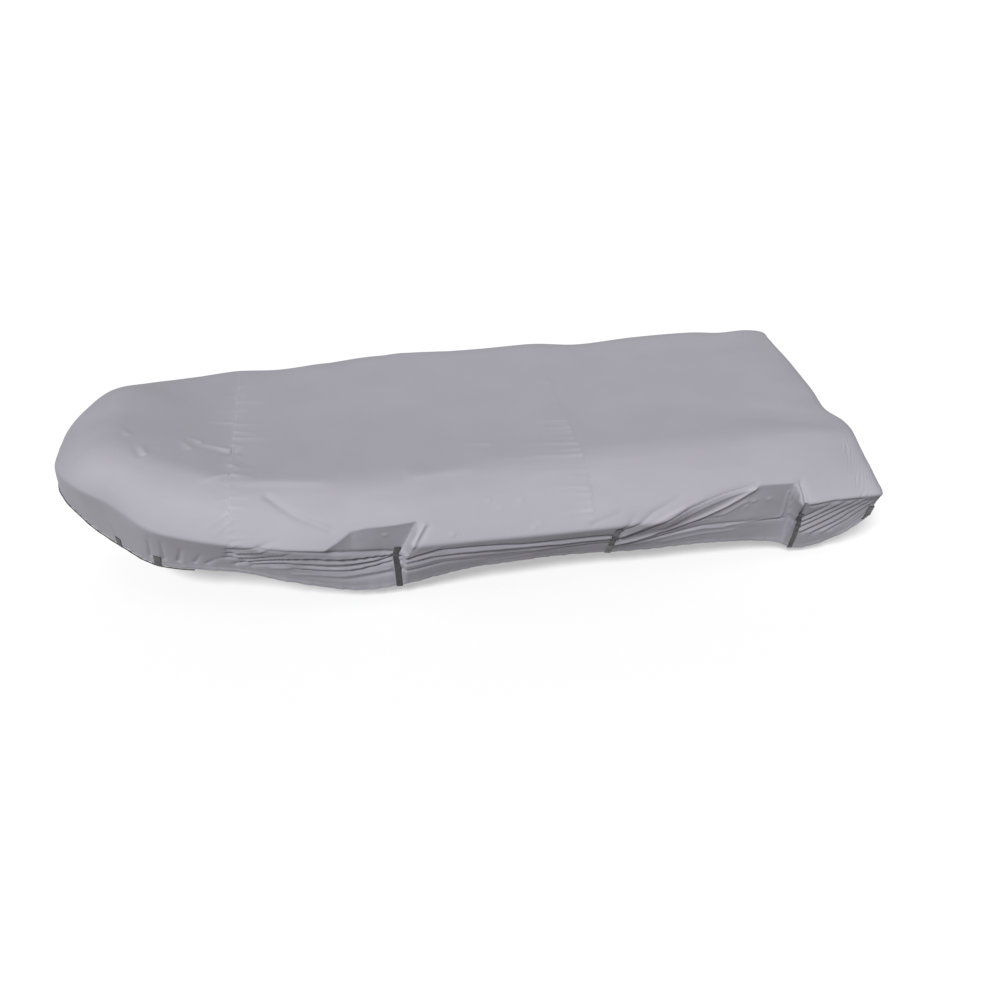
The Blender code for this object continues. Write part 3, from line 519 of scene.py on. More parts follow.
NEAR_PUCKERS = [
    (-1.118, 0.030, -1.050, 0.028, 0.0016, 0.008), (-1.118, 0.065, -1.000, 0.062, 0.0024, 0.009),
    (-1.118, 0.118, -1.002, 0.118, 0.0024, 0.009), (-1.118, 0.150, -1.060, 0.152, 0.0014, 0.008),
    (-1.118, 0.175, -1.008, 0.177, 0.0024, 0.009), (-1.118, 0.225, -1.050, 0.222, 0.0016, 0.008),
    (-1.118, 0.268, -1.015, 0.269, 0.0026, 0.009), (-1.118, 0.300, -1.040, 0.290, 0.0022, 0.009),
    (-1.124, 0.188, -1.225, 0.285, 0.0034, 0.010), (-1.124, 0.223, -1.180, 0.295, 0.0028, 0.009),
    (-1.124, 0.143, -1.265, 0.255, 0.0030, 0.010), (-1.124, 0.262, -1.190, 0.330, 0.0030, 0.010),
    (-1.124, 0.300, -1.165, 0.360, 0.0024, 0.010), (-1.124, 0.080, -1.230, 0.120, 0.0012, 0.009),
    (0.622, 0.055, 0.520, 0.050, 0.0012, 0.008), (0.622, 0.095, 0.500, 0.080, 0.0014, 0.009),
    (0.622, 0.151, 0.420, 0.122, 0.0030, 0.010), (0.622, 0.187, 0.455, 0.163, 0.0028, 0.010),
    (0.622, 0.225, 0.520, 0.220, 0.0014, 0.009), (0.622, 0.269, 0.470, 0.262, 0.0028, 0.010),
    (0.622, 0.310, 0.540, 0.300, 0.0016, 0.009),
]
FAR_PUCKERS = [
    (-1.118, 0.070, -1.010, 0.072, 0.0022, 0.010), (-1.118, 0.160, -1.000, 0.150, 0.0022, 0.010),
    (-1.118, 0.250, -1.010, 0.262, 0.0022, 0.010), (-1.124, 0.140, -1.230, 0.220, 0.0026, 0.011),
    (-1.124, 0.220, -1.190, 0.300, 0.0026, 0.011), (0.622, 0.090, 0.470, 0.080, 0.0020, 0.011),
    (0.622, 0.180, 0.440, 0.170, 0.0024, 0.011), (0.622, 0.270, 0.480, 0.255, 0.0024, 0.011),
]


CREST_ROUND = 0.06       # how round a crest is; at 0 it would be an edge
TIP_STEP = 0.012         # over which a pucker rises at its foot


def fold_depth(folds, run, drop):
    """Depth of all folds at places on the side, positive inwards.

    Across a fold the depth falls off as exp(-q), where q is (d/w)^2 for a soft bell and
    sqrt((d/w)^2 + c) - sqrt(c) for one with a crest, c being the roundness of its crest.
    """
    total = np.zeros(run.shape)
    for route, depth0, depth1, width, soft in folds:
        points = np.array(route)
        length = np.linalg.norm(np.diff(points, axis=0), axis=1)
        before = np.concatenate([[0.0], np.cumsum(length)])
        nearest = np.full(total.shape, np.inf)
        along = np.zeros(total.shape)
        for k, step in enumerate(np.diff(points, axis=0)):
            t = ((run - points[k, 0]) * step[0] + (drop - points[k, 1]) * step[1]) / length[k]**2
            t = np.clip(t, 0.0, 1.0)
            off = np.hypot(run - points[k, 0] - t * step[0], drop - points[k, 1] - t * step[1])
            along = np.where(off < nearest, (before[k] + t * length[k]) / before[-1], along)
            nearest = np.minimum(off, nearest)
        q = (nearest / width)**2
        crest = np.sqrt(q + CREST_ROUND) - np.sqrt(CREST_ROUND)
        fall = np.exp(-q) if soft else np.exp(-crest)
        total += (depth0 + (depth1 - depth0) * along) * fall
    return total


def span_hollows(lines, run, drop):
    """The grid with every line drawn straight from the head to the foot of a hollow.

    The foot moves in by the hollow's depth, and the cloth below it by a share that falls in
    proportion to nothing at the hem.  A smooth step closes the hollow at its steep edge.
    """
    lines = lines.copy()
    for places, edge, width in NEAR_HOLLOWS:
        table = np.array(places)
        inside = smooth_step((np.interp(drop, *np.array(edge).T) - run[:, None]) / width + 0.5)
        for k in np.flatnonzero((run > table[0, 0]) & (run < table[-1, 0])):
            head, foot, depth = (np.interp(run[k], table[:, 0], table[:, c]) for c in (1, 2, 3))
            ends = np.array([[np.interp(at, drop[k], lines[k, :, axis]) for axis in range(3)]
                             for at in (head, foot)])
            ends[1, 1] -= depth
            down = (drop[k] - head) / (foot - head)
            span = ends[0] + (ends[1] - ends[0]) * down[:, None]
            back = (drop[k, -1] - drop[k]) / (drop[k, -1] - foot)
            below = lines[k] - np.outer(back, (0, depth, 0))
            drawn = np.where(down[:, None] < 1, span, below)
            lines[k] += (drawn - lines[k]) * (inside[k] * (down > 0))[:, None]
    return lines


def pucker_height(puckers, u, v, lift, spread):
    """Height of short ridges that fall from their foot at the seam to nothing at their tip.

    Across one the height falls off as exp(-(d/w)^2); lift and spread scale all of them.
    """
    total = np.zeros(u.shape)
    for u0, v0, u1, v1, height, width in puckers:
        length = np.hypot(u1 - u0, v1 - v0)
        t = ((u - u0) * (u1 - u0) + (v - v0) * (v1 - v0)) / length**2
        off = ((u - u0) * (v1 - v0) - (v - v0) * (u1 - u0)) / length
        reach = np.clip(1 - t, 0, 1) * smooth_step(0.5 + t * length / TIP_STEP)
        total += lift * height * reach * np.exp(-(off / (spread * width))**2)
    return total


LATTICE = 64             # random numbers either way, after which the noise repeats
NOISE_START = 9.0        # the noise is read this far from zero


def uneven(u, v, size_u, size_v, seed):
    """Soft noise from -1 to 1: random numbers on a lattice, joined by smooth steps."""
    table = np.random.default_rng(seed).uniform(-1, 1, (LATTICE, LATTICE))
    a, b = (u + NOISE_START) / size_u, (v + NOISE_START) / size_v
    i, j = np.floor(a).astype(int), np.floor(b).astype(int)
    s, t = smooth_step(a - i), smooth_step(b - j)
    low, high = (table[i % LATTICE, k % LATTICE] * (1 - s)
                 + table[(i + 1) % LATTICE, k % LATTICE] * s for k in (j, j + 1))
    return low * (1 - t) + high * t


# Puckers drawn at random along a seam: their widths, heights and slants, and the highest drop
PUCKER_WIDTHS, PUCKER_HEIGHTS, PUCKER_SLANT = (0.004, 0.009), (0.0005, 0.0013), 0.12
SEAM_TOP = -0.60
# seam, which side of it (1 aft), the lowest drop, how many, their longest reach, and the seed
SEAM_SIDES = [(BOW_SEAM, 1, 0.38, 30, 0.07, 21), (BOW_SEAM, -1, 0.38, 20, 0.06, 23),
              (STERN_SEAM, -1, 0.34, 24, 0.10, 25), (STERN_SEAM, 1, 0.34, 10, 0.02, 27)]


def seam_puckers(away, down, low, high, count, reach, seed):
    """Height of the puckers that a seam draws up on one side of it.

    Each is a ridge a exp(-((down - c - k away) / w)^2) that fades with distance from the seam
    as exp(-(away / l)^2); centre, slope, width, length and height are drawn at random.
    """
    draw = np.random.default_rng(seed)
    total = np.zeros(away.shape)
    for centre in np.sort(draw.uniform(low, high, count)):
        width = draw.uniform(*PUCKER_WIDTHS)
        length = reach * draw.uniform(0.35, 1.0)
        height = draw.uniform(*PUCKER_HEIGHTS) * draw.choice([1.0, 1.0, -0.8])
        slope = draw.normal(0.0, PUCKER_SLANT)
        ridge = np.exp(-((down - centre - slope * away) / width)**2)
        total += height * ridge * np.exp(-(away / length)**2) * (away > 0)
    return total


# Soft swells: height, size along and across, and seed
SIDE_SWELLS = [(0.0020, 0.23, 0.11, 11), (0.0005, 0.08, 0.035, 13)]
TOP_SWELL, TOP_SWELL_SIZE = 0.0012, (0.52, 0.34)
TOP_PUCKER_SCALE = (2.0, 1.5)        # of the tables' heights and widths
SIDE_PUCKER_SCALE = (1.5, 1.15)
SIDE_FADE = 0.05         # drop over which the relief of the top gives way to the side's
# Fine wrinkles of the stern corner: where they begin and end, their height and their spacing
CORNER_FROM, CORNER_TO, WRINKLE, WRINKLE_PITCH = 1.93, 2.16, 0.0016, 0.016
SEAM_LAP, LAP_RISE = 0.011, 0.0008   # half the width of a lapped seam, and its height
HEM_DEPTH, HEM_RISE = 0.028, 0.0018  # width of the channel sewn along the hem, and its height
STITCH_GROOVE, STITCH_WIDTH = 0.0016, 0.003
EDGE_STEP = 0.006        # over which a lap or the channel rises
GATHER, GATHER_PITCH, GATHER_REACH = 0.0026, 0.022, 0.04


def cloth_relief(run, drop, x, y, to_hem, far):
    """Height of everything that the sewing and the drape add to the smooth cloth.

    run and drop place a point along and down the cloth; to_hem is its distance from the hem.
    The folds, the gathers and the unevenness of the side die out towards the centre line, and
    what is left there depends on x and y alone, so that both halves meet.
    """
    side = 1 if far else 0
    fade = smooth_step(y / FOLDS_FADE)
    height = -fade * fold_depth(FAR_FOLDS if far else NEAR_FOLDS, run, drop)
    flank = smooth_step(drop / SIDE_FADE)
    for swell, along, down, seed in SIDE_SWELLS:
        height += swell * flank * fade * uneven(run, drop, along, down, seed + side)
    across = y if far else -y
    height += TOP_SWELL * (1 - flank) * uneven(x, across, *TOP_SWELL_SIZE, 15)
    height += (1 - flank) * pucker_height(TOP_PUCKERS, x, across, *TOP_PUCKER_SCALE)
    puckers = FAR_PUCKERS if far else NEAR_PUCKERS
    height += flank * pucker_height(puckers, x, drop, *SIDE_PUCKER_SCALE)
    if not far:
        for centre, low, high, radius in NEAR_BUMPS:
            away = ((run - centre)**2 + (drop - low)**2) / radius**2
            height += flank * high * np.exp(-away)
    for seam, way, foot, count, reach, seed in SEAM_SIDES:
        height += fade * seam_puckers(way * (x - seam), drop, SEAM_TOP, foot, count, reach,
                                      seed + side)
    corner = smooth_step((run - CORNER_FROM) / 0.08) * smooth_step((CORNER_TO - run) / 0.06)
    slant = (run * 0.80 + drop * 0.35) / WRINKLE_PITCH + 0.8 * uneven(run, drop, 0.06, 0.05, 33)
    height += WRINKLE * (corner * flank) * np.sin(2 * np.pi * slant) * fade
    height += LAP_RISE * smooth_step((SEAM_LAP - abs(x - BOW_SEAM)) / EDGE_STEP + 0.5)
    height += HEM_RISE * smooth_step((HEM_DEPTH - to_hem) / EDGE_STEP + 0.5)
    height -= STITCH_GROOVE * np.exp(-((to_hem - HEM_DEPTH) / STITCH_WIDTH)**2)
    # the gathers change along the hem alone, so one row of the noise serves them
    gather = uneven(run, 0 * drop - 6.0, GATHER_PITCH, 1.0, 31 + side)
    height += fade * GATHER * gather * np.exp(-to_hem / GATHER_REACH)
    return height


def rows_by_step(first, last, step_at):
    """Row numbers from one station to another, as far apart as step_at says at their run."""
    dense = np.linspace(first, last, 6001)
    side = read_stations(dense)[:, 3:6]
    step = np.linalg.norm(np.diff(side, axis=0), axis=1)
    wanted = step_at(run_of((dense[1:] + dense[:-1]) / 2))
    count = np.concatenate([[0.0], np.cumsum(step / wanted)])
    return np.interp(np.linspace(0, count[-1], int(np.ceil(count[-1])) + 1), count, dense)


def half_cloth(rows, far, shares):
    """Half a panel with all its relief: grid, run, drop and height."""
    top, flank, _ = shares
    lines = draped_half(rows, far, *shares)
    at_crease, at_side = len(top), len(top) + len(flank)
    run = run_of(rows)
    at_shoulder = int(np.argmin(abs(top - SHOULDER)))
    lines = round_corner(lines, at_crease, np.interp(run, *EDGE_ROUNDING.T))
    lines = round_corner(lines, at_shoulder, np.interp(run, *SHOULDER_ROUNDING.T))
    lines = round_corner(lines, at_side, BREAK_ROUNDING)
    drop = distance_along(lines, at_crease)
    to_hem = drop[:, -1:] - drop
    if not far:
        lines = span_hollows(lines, run, drop)
    run = np.repeat(run[:, None], drop.shape[1], axis=1)
    normal = np.cross(np.gradient(lines, axis=0), np.gradient(lines, axis=1))
    normal[:, 0] = (0, 0, 1)
    normal[:, :, 1] *= lines[:, :, 1] > 1e-6
    normal = unit(normal)
    height = cloth_relief(run, drop, lines[:, :, 0], lines[:, :, 1], to_hem, far)
    moved = lines + normal * height[..., None]
    if not far:
        moved[:, :, 1] *= -1
    return moved, run, drop, height


TUCK = 0.008             # how far a panel runs on under its neighbour at a seam
TUCK_DEPTH = 0.0016


def tucked(grid, end, seam, far):
    """Replace the last two rows at one end by a lap that dips and runs on under the seam."""
    edge = grid[end].copy()
    edge[:, 0] = seam
    inwards = np.cross(np.gradient(edge, axis=0), (1.0 if far else -1.0, 0, 0))
    grid[1 if end == 0 else -2] = edge
    grid[end] = edge + unit(inwards) * TUCK_DEPTH + (TUCK if end else -TUCK, 0, 0)


def join_grids(parts):
    """Points, faces and cut of several grids together; a grid that is turned faces the other way.

    A part is a grid of points, the cut at each of them, and whether it is turned.
    """
    faces, start = [], 0
    for grid, _, turned in parts:
        rows, places = grid.shape[:2]
        index = start + np.arange(rows * places).reshape(rows, places)
        quad = np.stack([index[:-1, :-1], index[1:, :-1], index[1:, 1:], index[:-1, 1:]], -1)
        quad = quad.reshape(-1, 4)
        faces.append(quad[:, ::-1] if turned else quad)
        start += rows * places
    points = np.concatenate([grid.reshape(-1, 3) for grid, _, _ in parts])
    cut = np.concatenate([cut.reshape(-1, 2) for _, cut, _ in parts])
    return points, np.concatenate(faces), cut


def new_piece(name, points, faces, finish):
    """A smooth mesh of these points and faces, at the origin, that rides on the body."""
    mesh = bpy.data.meshes.new(name)
    mesh.from_pydata(points.tolist(), [], faces)
    mesh.polygons.foreach_set("use_smooth", np.ones(len(mesh.polygons), dtype=bool))
    mesh.materials.append(finish)
    made = bpy.data.objects.new(name, mesh)
    bpy.context.scene.collection.objects.link(made)
    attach(made, "root")
    return made


def of_corners(mesh, what):
    """The number of the point or of the edge at every corner of a mesh's faces."""
    numbers = np.empty(len(mesh.loops), dtype=np.int32)
    mesh.loops.foreach_get(what, numbers)
    return numbers


def thicken(made, cut, thickness):
    """Lay a sheet's points on their cut, in metres, and give it its thickness inwards."""
    uv = made.data.uv_layers.new(name="cut")
    uv.data.foreach_set("uv", cut[of_corners(made.data, "vertex_index")].ravel())
    shell = made.modifiers.new("thickness", "SOLIDIFY")
    shell.thickness = thickness
    shell.offset = -1.0


CLOTH_THICK = 0.0012
FULL_CREST = 0.01        # height at which a crest gets all of its painted highlight
WELD = 2e-5              # points of one cell of this size are one point


def panel(name, halves, seams, laps=()):
    """One sewn panel from its near and far half, welded along the middle, as a thin sheet.

    seams holds the lowest and the highest x of the panel, to which its cloth is cut back; laps
    names the ends, 0 or -1, at which it runs on under its neighbour.
    """
    parts, crest = [], []
    for (grid, run, drop, height), far in zip(halves, (False, True)):
        grid = grid.copy()
        grid[:, :, 0] = np.clip(grid[:, :, 0], *seams)
        for end in laps:
            tucked(grid, end, seams[end], far)
        flat = np.where(drop[..., None] < 0, grid[:, :, :2], np.stack([run, drop], -1))
        parts.append((grid, flat, not far))
        # the painted highlight of the fold crests, by the height of the relief
        crest.append(smooth_step(height / FULL_CREST).ravel())
    points, faces, cut = join_grids(parts)
    _, first, same = np.unique(np.round(points / WELD).astype(np.int64), axis=0,
                               return_index=True, return_inverse=True)
    whole = [list(dict.fromkeys(face)) for face in same.ravel()[faces].tolist()]
    made = new_piece(name, points[first], [face for face in whole if len(face) > 2], CLOTH)
    mesh = made.data
    mesh.validate()
    thicken(made, cut[first], CLOTH_THICK)
    # painted highlight: the crests of the folds are drawn lighter in the cloth's colour
    painted_crest_highlight = mesh.attributes.new("crest", "FLOAT", "POINT")
    painted_crest_highlight.data.foreach_set("value", np.concatenate(crest)[first].astype(np.float32))
    # the cut edges stay sharp, or their smooth normals would darken the cloth beside a seam
    beside = np.bincount(of_corners(mesh, "edge_index"), minlength=len(mesh.edges))
    mesh.edges.foreach_set("use_edge_sharp", beside == 1)
    return made


# How far apart the rows of the grids are: close where there are folds and puckers
NEAR_BOW_STEP, FAR_BOW_STEP, FAR_STERN_STEP = 0.0075, 0.018, 0.024
SEAM_STEP, MORE_BETWEEN, SEAM_REACH = 0.0048, 0.0042, 0.3
STERN_STEPS = np.array([(1.50, 0.0105), (1.62, 0.0066), (2.12, 0.0066), (2.25, 0.0170)])
NEAR_LINE = line_shares(46, 14, 56, 46)
FAR_LINE = line_shares(22, 9, 20, 15)
STERN_LINE = line_shares(32, 10, 53, 46, 0.8)
GAP = 0.00002            # half the slit between two panels at their seam
OUTSIDE = 9.0            # past either end of the cover


def middle_step(run):
    """Step of the middle panel's rows: it grows away from both seams by a smooth step."""
    from_seam = np.minimum(run - BOW_SEAM, STERN_SEAM - run)
    return SEAM_STEP + MORE_BETWEEN * smooth_step(from_seam / SEAM_REACH)


near_bow = half_cloth(rows_by_step(0, AT_BOW_SEAM, lambda run: NEAR_BOW_STEP), False, NEAR_LINE)
far_bow = half_cloth(rows_by_step(0, AT_BOW_SEAM, lambda run: FAR_BOW_STEP), True, NEAR_LINE)
cover_bow = panel("bow_cloth", [near_bow, far_bow], (-OUTSIDE, BOW_SEAM - GAP))
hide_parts("bow_panel")

middle_rows = rows_by_step(AT_BOW_SEAM, AT_STERN_SEAM, middle_step)
near_middle = half_cloth(middle_rows, False, NEAR_LINE)
far_middle = half_cloth(middle_rows, True, FAR_LINE)
cover_middle = panel("middle_cloth", [near_middle, far_middle], (BOW_SEAM, STERN_SEAM),
                     laps=(0, -1))
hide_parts("middle_panel")

stern_rows = rows_by_step(AT_STERN_SEAM, AT_STERN, lambda run: np.interp(run, *STERN_STEPS.T))
near_stern = half_cloth(stern_rows, False, STERN_LINE)
stern_rows = rows_by_step(AT_STERN_SEAM, AT_STERN, lambda run: FAR_STERN_STEP)
far_stern = half_cloth(stern_rows, True, STERN_LINE)
cover_stern = panel("stern_cloth", [near_stern, far_stern], (STERN_SEAM + GAP, OUTSIDE))
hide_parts("stern_panel")

# ---------------------------------------------------------------- straps and tabs of webbing
# Black polypropylene webbing, 30 and 40 mm wide: three straps a side sewn on below the widest
# line and running past the hem, and three tabs a side over the bow and the stern hem.  The top
# of each strap is doubled, and every lower end is turned in round the hem.
WEBBING_THICK = 0.0018
WEBBING_CLEAR = 0.0008   # between the cloth and the underside of the webbing
RIB_PITCH = 0.0030       # ribs are 1.5 mm apart; drawn coarser, or they wouldn't show
PLY_PITCH = 0.0060
TURN_RADIUS = 0.0045     # of the end that is turned in round the hem
STEP = 0.005             # between the places along a strap
ACROSS = np.linspace(-0.5, 0.5, 9)
TAUT_PASSES, LIFT_PASSES = 10, 3     # how often a strap's places are averaged
# name, (run, drop, width) down to the hem, how far it hangs below it, how far it is turned in
STRAPS = [
    ("strap_1", [(-0.343, 0.392, 0.033), (-0.347, 0.415, 0.031), (-0.356, 0.470, 0.026),
                 (-0.350, 0.560, 0.030), (-0.345, 0.800, 0.032)],
     0.006, 0.018),
    ("strap_2", [(0.746, 0.388, 0.031), (0.741, 0.450, 0.029), (0.735, 0.560, 0.028),
                 (0.731, 0.800, 0.030)], 0.012, 0.020),
    ("strap_3", [(1.724, 0.490, 0.031), (1.728, 0.530, 0.027), (1.734, 0.580, 0.030),
                 (1.750, 0.720, 0.031)], 0.006, 0.018),
]
# name, run, how far it reaches up from the hem, and the rest as above
TABS = [("bow_tab_front", -1.829, 0.060, 0.006, 0.012),
        ("bow_tab_side", -1.538, 0.085, 0.006, 0.012),
        ("stern_tab", 2.096, 0.110, 0.006, 0.012)]
TAB_WIDTH = 0.040
CLOTH_SIDES = {"near": (near_bow, near_middle, near_stern),
               "far": (far_bow, far_middle, far_stern)}


def shade_and_raise(tree, shader, pattern, deep, high, strength, distance):
    """Colour a finish from deep to high by its pattern, and raise it by the same."""
    shade = node(tree, "ShaderNodeMix", [(0, pattern)], data_type="RGBA",
                 A=linear(deep), B=linear(high))
    tree.links.new(shade.outputs["Result"], shader.inputs["Base Color"])
    rise = node(tree, "ShaderNodeBump", [("Height", pattern)], Strength=strength,
                Distance=distance)
    tree.links.new(rise.outputs["Normal"], shader.inputs["Normal"])


def woven_webbing():
    """Black webbing: ribs across it and plies along it, both in the metres of its own length."""
    made, tree, shader = new_finish("polypropylene_webbing_woven", 0.5)
    weave = crossed_threads(tree, PLY_PITCH, RIB_PITCH)
    shade_and_raise(tree, shader, weave, "#161618", "#303035", 0.6, 0.0006)
    shader.inputs["Sheen Weight"].default_value = 0.1
    return made


WEBBING = woven_webbing()


def on_cloth(patch, run, drop):
    """Places on half a panel at (run, drop): its grid read linearly between rows and lines."""
    grid, runs, drops = patch[:3]
    row = np.interp(run.ravel(), runs[:, 0], np.arange(len(runs)))
    low = np.clip(row.astype(int), 0, len(runs) - 2)
    ends = [np.array([[np.interp(at, drops[j], grid[j, :, axis]) for axis in range(3)]
                      for j, at in zip(low + k, drop.ravel())]) for k in (0, 1)]
    share = (row - low)[:, None]
    return (ends[0] * (1 - share) + ends[1] * share).reshape(*run.shape, 3)


def patch_at(side, run):
    """The half panel of a side that holds a run."""
    return next(patch for patch in CLOTH_SIDES[side]
                if patch[1][0, 0] <= run <= patch[1][-1, 0])


def hem_at(patch, run):
    """Drop of the hem of half a panel at a run."""
    return np.interp(run, patch[1][:, 0], patch[2][:, -1])


def band(side, route, hang, tail):
    """A strip of webbing on the cloth: a grid along x across x (x, y, z), its cut, and outwards.

    Its places lie on the cloth at the route's run, drop and width.  It is drawn flat across and
    taut by averaging along its length, lifted off what would stand through it, then hangs past
    the hem and turns in round it on a half circle.
    """
    route = np.array(route)
    patch = patch_at(side, route[0, 0])
    hem = hem_at(patch, route[-1, 0])
    drop = np.linspace(route[0, 1], hem, int((hem - route[0, 1]) / STEP) + 1)
    run, width = np.interp(drop, route[:, 1], route[:, 0]), np.interp(drop, *route[:, 1:].T)
    across = width[:, None] * ACROSS
    laid = on_cloth(patch, run[:, None] + across, np.repeat(drop[:, None], len(ACROSS), axis=1))
    out = unit(np.cross(np.gradient(laid, axis=0), np.gradient(laid, axis=1)))
    out *= np.sign(out[:, :, 1:2] * laid[:, :, 1:2])
    share = (ACROSS - ACROSS[0])[:, None]
    taut = laid[:, :1] * (1 - share) + laid[:, -1:] * share
    out = np.repeat(out.mean(axis=1, keepdims=True), len(ACROSS), axis=1)
    for _ in range(TAUT_PASSES):
        taut[1:-1] = (taut[:-2] + taut[1:-1] + taut[2:]) / 3
        out[1:-1] = unit(out[:-2] + out[1:-1] + out[2:])
    lift = np.clip(((laid - taut) * out).sum(axis=2), 0, None).max(axis=1)
    for _ in range(LIFT_PASSES):
        lift[1:-1] = np.maximum(lift[1:-1], (lift[:-2] + lift[2:]) / 2)
    taut += out * (lift[:, None, None] + WEBBING_CLEAR + WEBBING_THICK)
    down, away = unit(taut[-1] - taut[-2]), out[-1]
    below = taut[-1] + down * np.arange(STEP / 2, hang, STEP / 2)[:, None, None]
    centre = below[-1] - away * TURN_RADIUS
    angle = np.linspace(0, np.pi, 7)[1:, None, None]
    turn = centre + TURN_RADIUS * (away * np.cos(angle) + down * np.sin(angle))
    inside = turn[-1] - down * np.arange(STEP, tail, STEP)[:, None, None]
    grid = np.concatenate([taut, below, turn, inside])
    length = np.linalg.norm(np.diff(grid, axis=0), axis=2).mean(axis=1)
    along = np.concatenate([[0.0], np.cumsum(length)])[:, None] + 0 * ACROSS
    wide = np.interp(np.arange(len(grid)), np.arange(len(width)), width)[:, None] * ACROSS
    return grid, np.stack([wide, along], axis=-1), out


def band_object(name, layers, out):
    """One piece of webbing from its layers and their cuts, with the thickness of the webbing."""
    parts = []
    for grid, cut in layers:
        normal = np.cross(grid[1, 0] - grid[0, 0], grid[0, 1] - grid[0, 0])
        parts.append((grid, cut, normal @ out[0, 0] <= 0))
    points, faces, cut = join_grids(parts)
    made = new_piece(name, points, faces.tolist(), WEBBING)
    thicken(made, cut, WEBBING_THICK)
    return made


DOUBLED = 0.032          # length of the doubled top of a strap
LAYER_CLEAR = 0.0002     # between its two layers
for side in CLOTH_SIDES:
    for name, route, hang, tail in STRAPS:
        grid, cut, out = band(side, route, hang, tail)
        rows = int(DOUBLED / STEP)
        top = grid[:rows] + out[:rows] * (WEBBING_THICK + LAYER_CLEAR)
        strap = band_object(f"{side}_webbing_{name}", [(grid, cut), (top, cut[:rows])], out)
        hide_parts(f"{side}_{name}")
    for name, run, reach, hang, tail in TABS:
        hem = hem_at(patch_at(side, run), run)
        route = [(run, hem - reach, TAB_WIDTH), (run, hem + reach, TAB_WIDTH)]
        grid, cut, out = band(side, route, hang, tail)
        tab = band_object(f"{side}_webbing_{name}", [(grid, cut)], out)
        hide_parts(f"{side}_{name}")

# ---------------------------------------------------------------- draw cord of the bow hem
# Black braided polyester cord, 6.4 mm thick.  It runs along just under the bow hem, from one
# side of the bow round to the other, held by the hem all the way, and draws the bow in.
CORD_RADIUS = 0.0032
CORD_CLEAR = 0.0004
CORD_END = 5             # station at which it comes out of the hem
CORD_SIDES = 12
ROUTE_PASSES = 8         # how often its route is averaged
BRAID_PITCH = 0.0045


def braided_polyester():
    """Braid: two sets of strands that cross at right angles, half along and half round it."""
    made, tree, shader = new_finish("polyester_cord_braided", 0.55)
    cut = node(tree, "ShaderNodeUVMap", uv_map="cut")
    strands = []
    for turn in (-np.pi / 4, np.pi / 4):
        turned = node(tree, "ShaderNodeMapping", [("Vector", cut)], Rotation=(0, 0, turn))
        strands.append(node(tree, "ShaderNodeTexWave", [("Vector", turned)],
                            bands_direction="X", Scale=0.5 * np.pi / BRAID_PITCH / 10))
    plait = node(tree, "ShaderNodeMath", [(0, strands[0].outputs["Fac"]),
                                          (1, strands[1].outputs["Fac"])], operation="MAXIMUM")
    shade_and_raise(tree, shader, plait, "#121213", "#2C2C2F", 0.7, 0.0008)
    return made


def hem_route(patch, outward):
    """Middle of the cord along the hem of half the bow: below the hem, and half under it."""
    grid, runs = patch[:2]
    hem = grid[:, -1]
    down = unit(hem - grid[:, -4])
    out = unit(np.cross(np.gradient(hem, axis=0), down)) * outward
    line = hem + down * (CORD_RADIUS + CORD_CLEAR) - out * CORD_RADIUS
    line = line[runs[:, 0] <= run_of(np.array([float(CORD_END)]))[0]]
    for _ in range(ROUTE_PASSES):
        line[1:-1] = (line[:-2] + line[1:-1] + line[2:]) / 3
    return line


def round_cord(name, route, radius, finish):
    """A closed cord: a circle carried along its route, upright where the route is level.

    Its cut runs round it and along it in metres, and is a single point on its two end faces.
    """
    ahead = unit(np.gradient(route, axis=0))
    across = unit(np.cross(ahead, (0, 0, 1)))
    above = np.cross(across, ahead)
    angle = np.linspace(0, 2 * np.pi, CORD_SIDES + 1)[:-1, None]
    ring = np.cos(angle) * across[:, None] - np.sin(angle) * above[:, None]
    points = (route[:, None] + radius * ring).reshape(-1, 3)
    index = np.arange(len(points)).reshape(len(route), CORD_SIDES)
    beside = np.roll(index, -1, axis=1)
    quad = np.stack([index[:-1], beside[:-1], beside[1:], index[1:]], -1).reshape(-1, 4)
    made = new_piece(name, points,
                     quad.tolist() + [index[0, ::-1].tolist(), index[-1].tolist()], finish)
    step = np.linalg.norm(np.diff(route, axis=0), axis=1)
    along = np.concatenate([[0.0], np.cumsum(step)])
    width = 2 * np.pi * radius / CORD_SIDES
    cut = np.stack(np.meshgrid(width * np.arange(CORD_SIDES), along), -1)
    corner = np.stack([cut[:-1], cut[:-1] + (width, 0), cut[1:] + (width, 0), cut[1:]], axis=2)
    ends = np.zeros((2 * CORD_SIDES, 2))
    uv = made.data.uv_layers.new(name="cut")
    uv.data.foreach_set("uv", np.concatenate([corner.reshape(-1, 2), ends]).ravel())
    return made


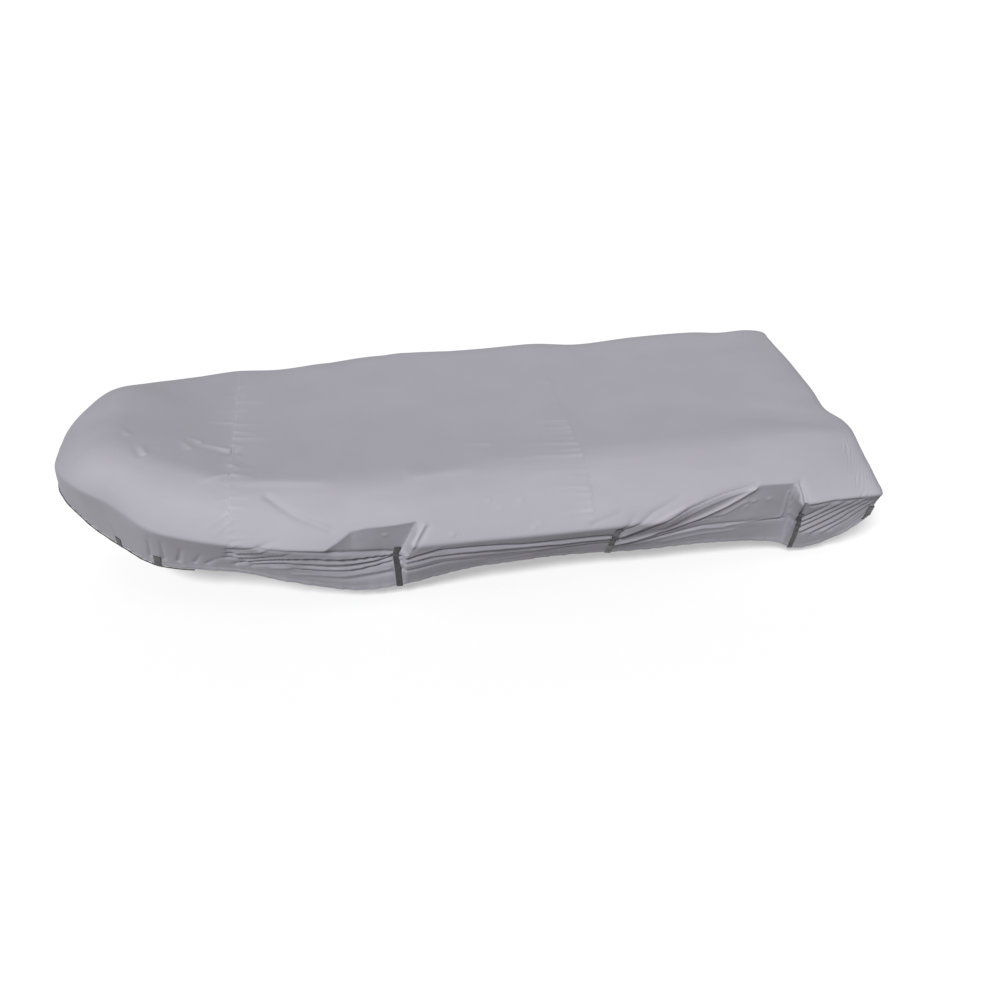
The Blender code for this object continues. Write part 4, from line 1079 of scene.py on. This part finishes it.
cord_route = np.concatenate([hem_route(near_bow, 1.0)[::-1], hem_route(far_bow, -1.0)[1:]])
cord = round_cord("bow_hem_cord", cord_route, CORD_RADIUS, braided_polyester())
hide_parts("bow_draw_cord")

# ---------------------------------------------------------------- floor and light
# A plain pale studio floor below the hem, which glows a little by itself so that its shadows
# stay pale, and soft lights: a large one high behind the camera and to the bow side, and even
# light from all round.
FLOOR_Z, FLOOR_REACH, FLOOR_GLOW = -0.70, 60.0, 0.44
ROUND_LIGHT = 0.18       # strength of the even light from all round
floor = bpy.data.objects.new("floor", bpy.data.meshes.new("floor"))
floor.data.from_pydata([(x * FLOOR_REACH, y * FLOOR_REACH, FLOOR_Z)
                        for x, y in ((-1, -1), (1, -1), (1, 1), (-1, 1))], [], [(0, 1, 2, 3)])
floor_finish, _, floor_shader = new_finish("pale_floor", 0.9)
floor_shader.inputs["Base Color"].default_value = linear("#B4B4B4")
floor_shader.inputs["Emission Color"].default_value = linear("#FFFFFF")
floor_shader.inputs["Emission Strength"].default_value = FLOOR_GLOW
floor.data.materials.append(floor_finish)
floor.visible_diffuse = False
bpy.context.scene.collection.objects.link(floor)


def distant_light(name, azimuth, elevation, softness, strength):
    """Even light from one direction: azimuth from the near side towards the stern, in degrees."""
    turn, lift = np.radians([azimuth, elevation])
    back = np.array([np.sin(turn) * np.cos(lift), -np.cos(turn) * np.cos(lift), np.sin(lift)])
    lamp = bpy.data.objects.new(name, bpy.data.lights.new(name, "SUN"))
    lamp.data.angle = np.radians(softness)
    lamp.data.energy = strength
    right = unit(np.cross((0, 0, 1), back))
    lamp.matrix_world = facing(right, np.cross(back, right), back)
    bpy.context.scene.collection.objects.link(lamp)


distant_light("key", azimuth=-25, elevation=42, softness=14, strength=4.8)
distant_light("fill", azimuth=165, elevation=24, softness=30, strength=0.6)
world = bpy.data.worlds.new("studio")
world.use_nodes = True
all_round = world.node_tree.nodes["Background"]
all_round.inputs["Color"].default_value = linear("#FFFFFF")
all_round.inputs["Strength"].default_value = ROUND_LIGHT
bpy.context.scene.world = world
bpy.context.scene.view_settings.view_transform = "Standard"
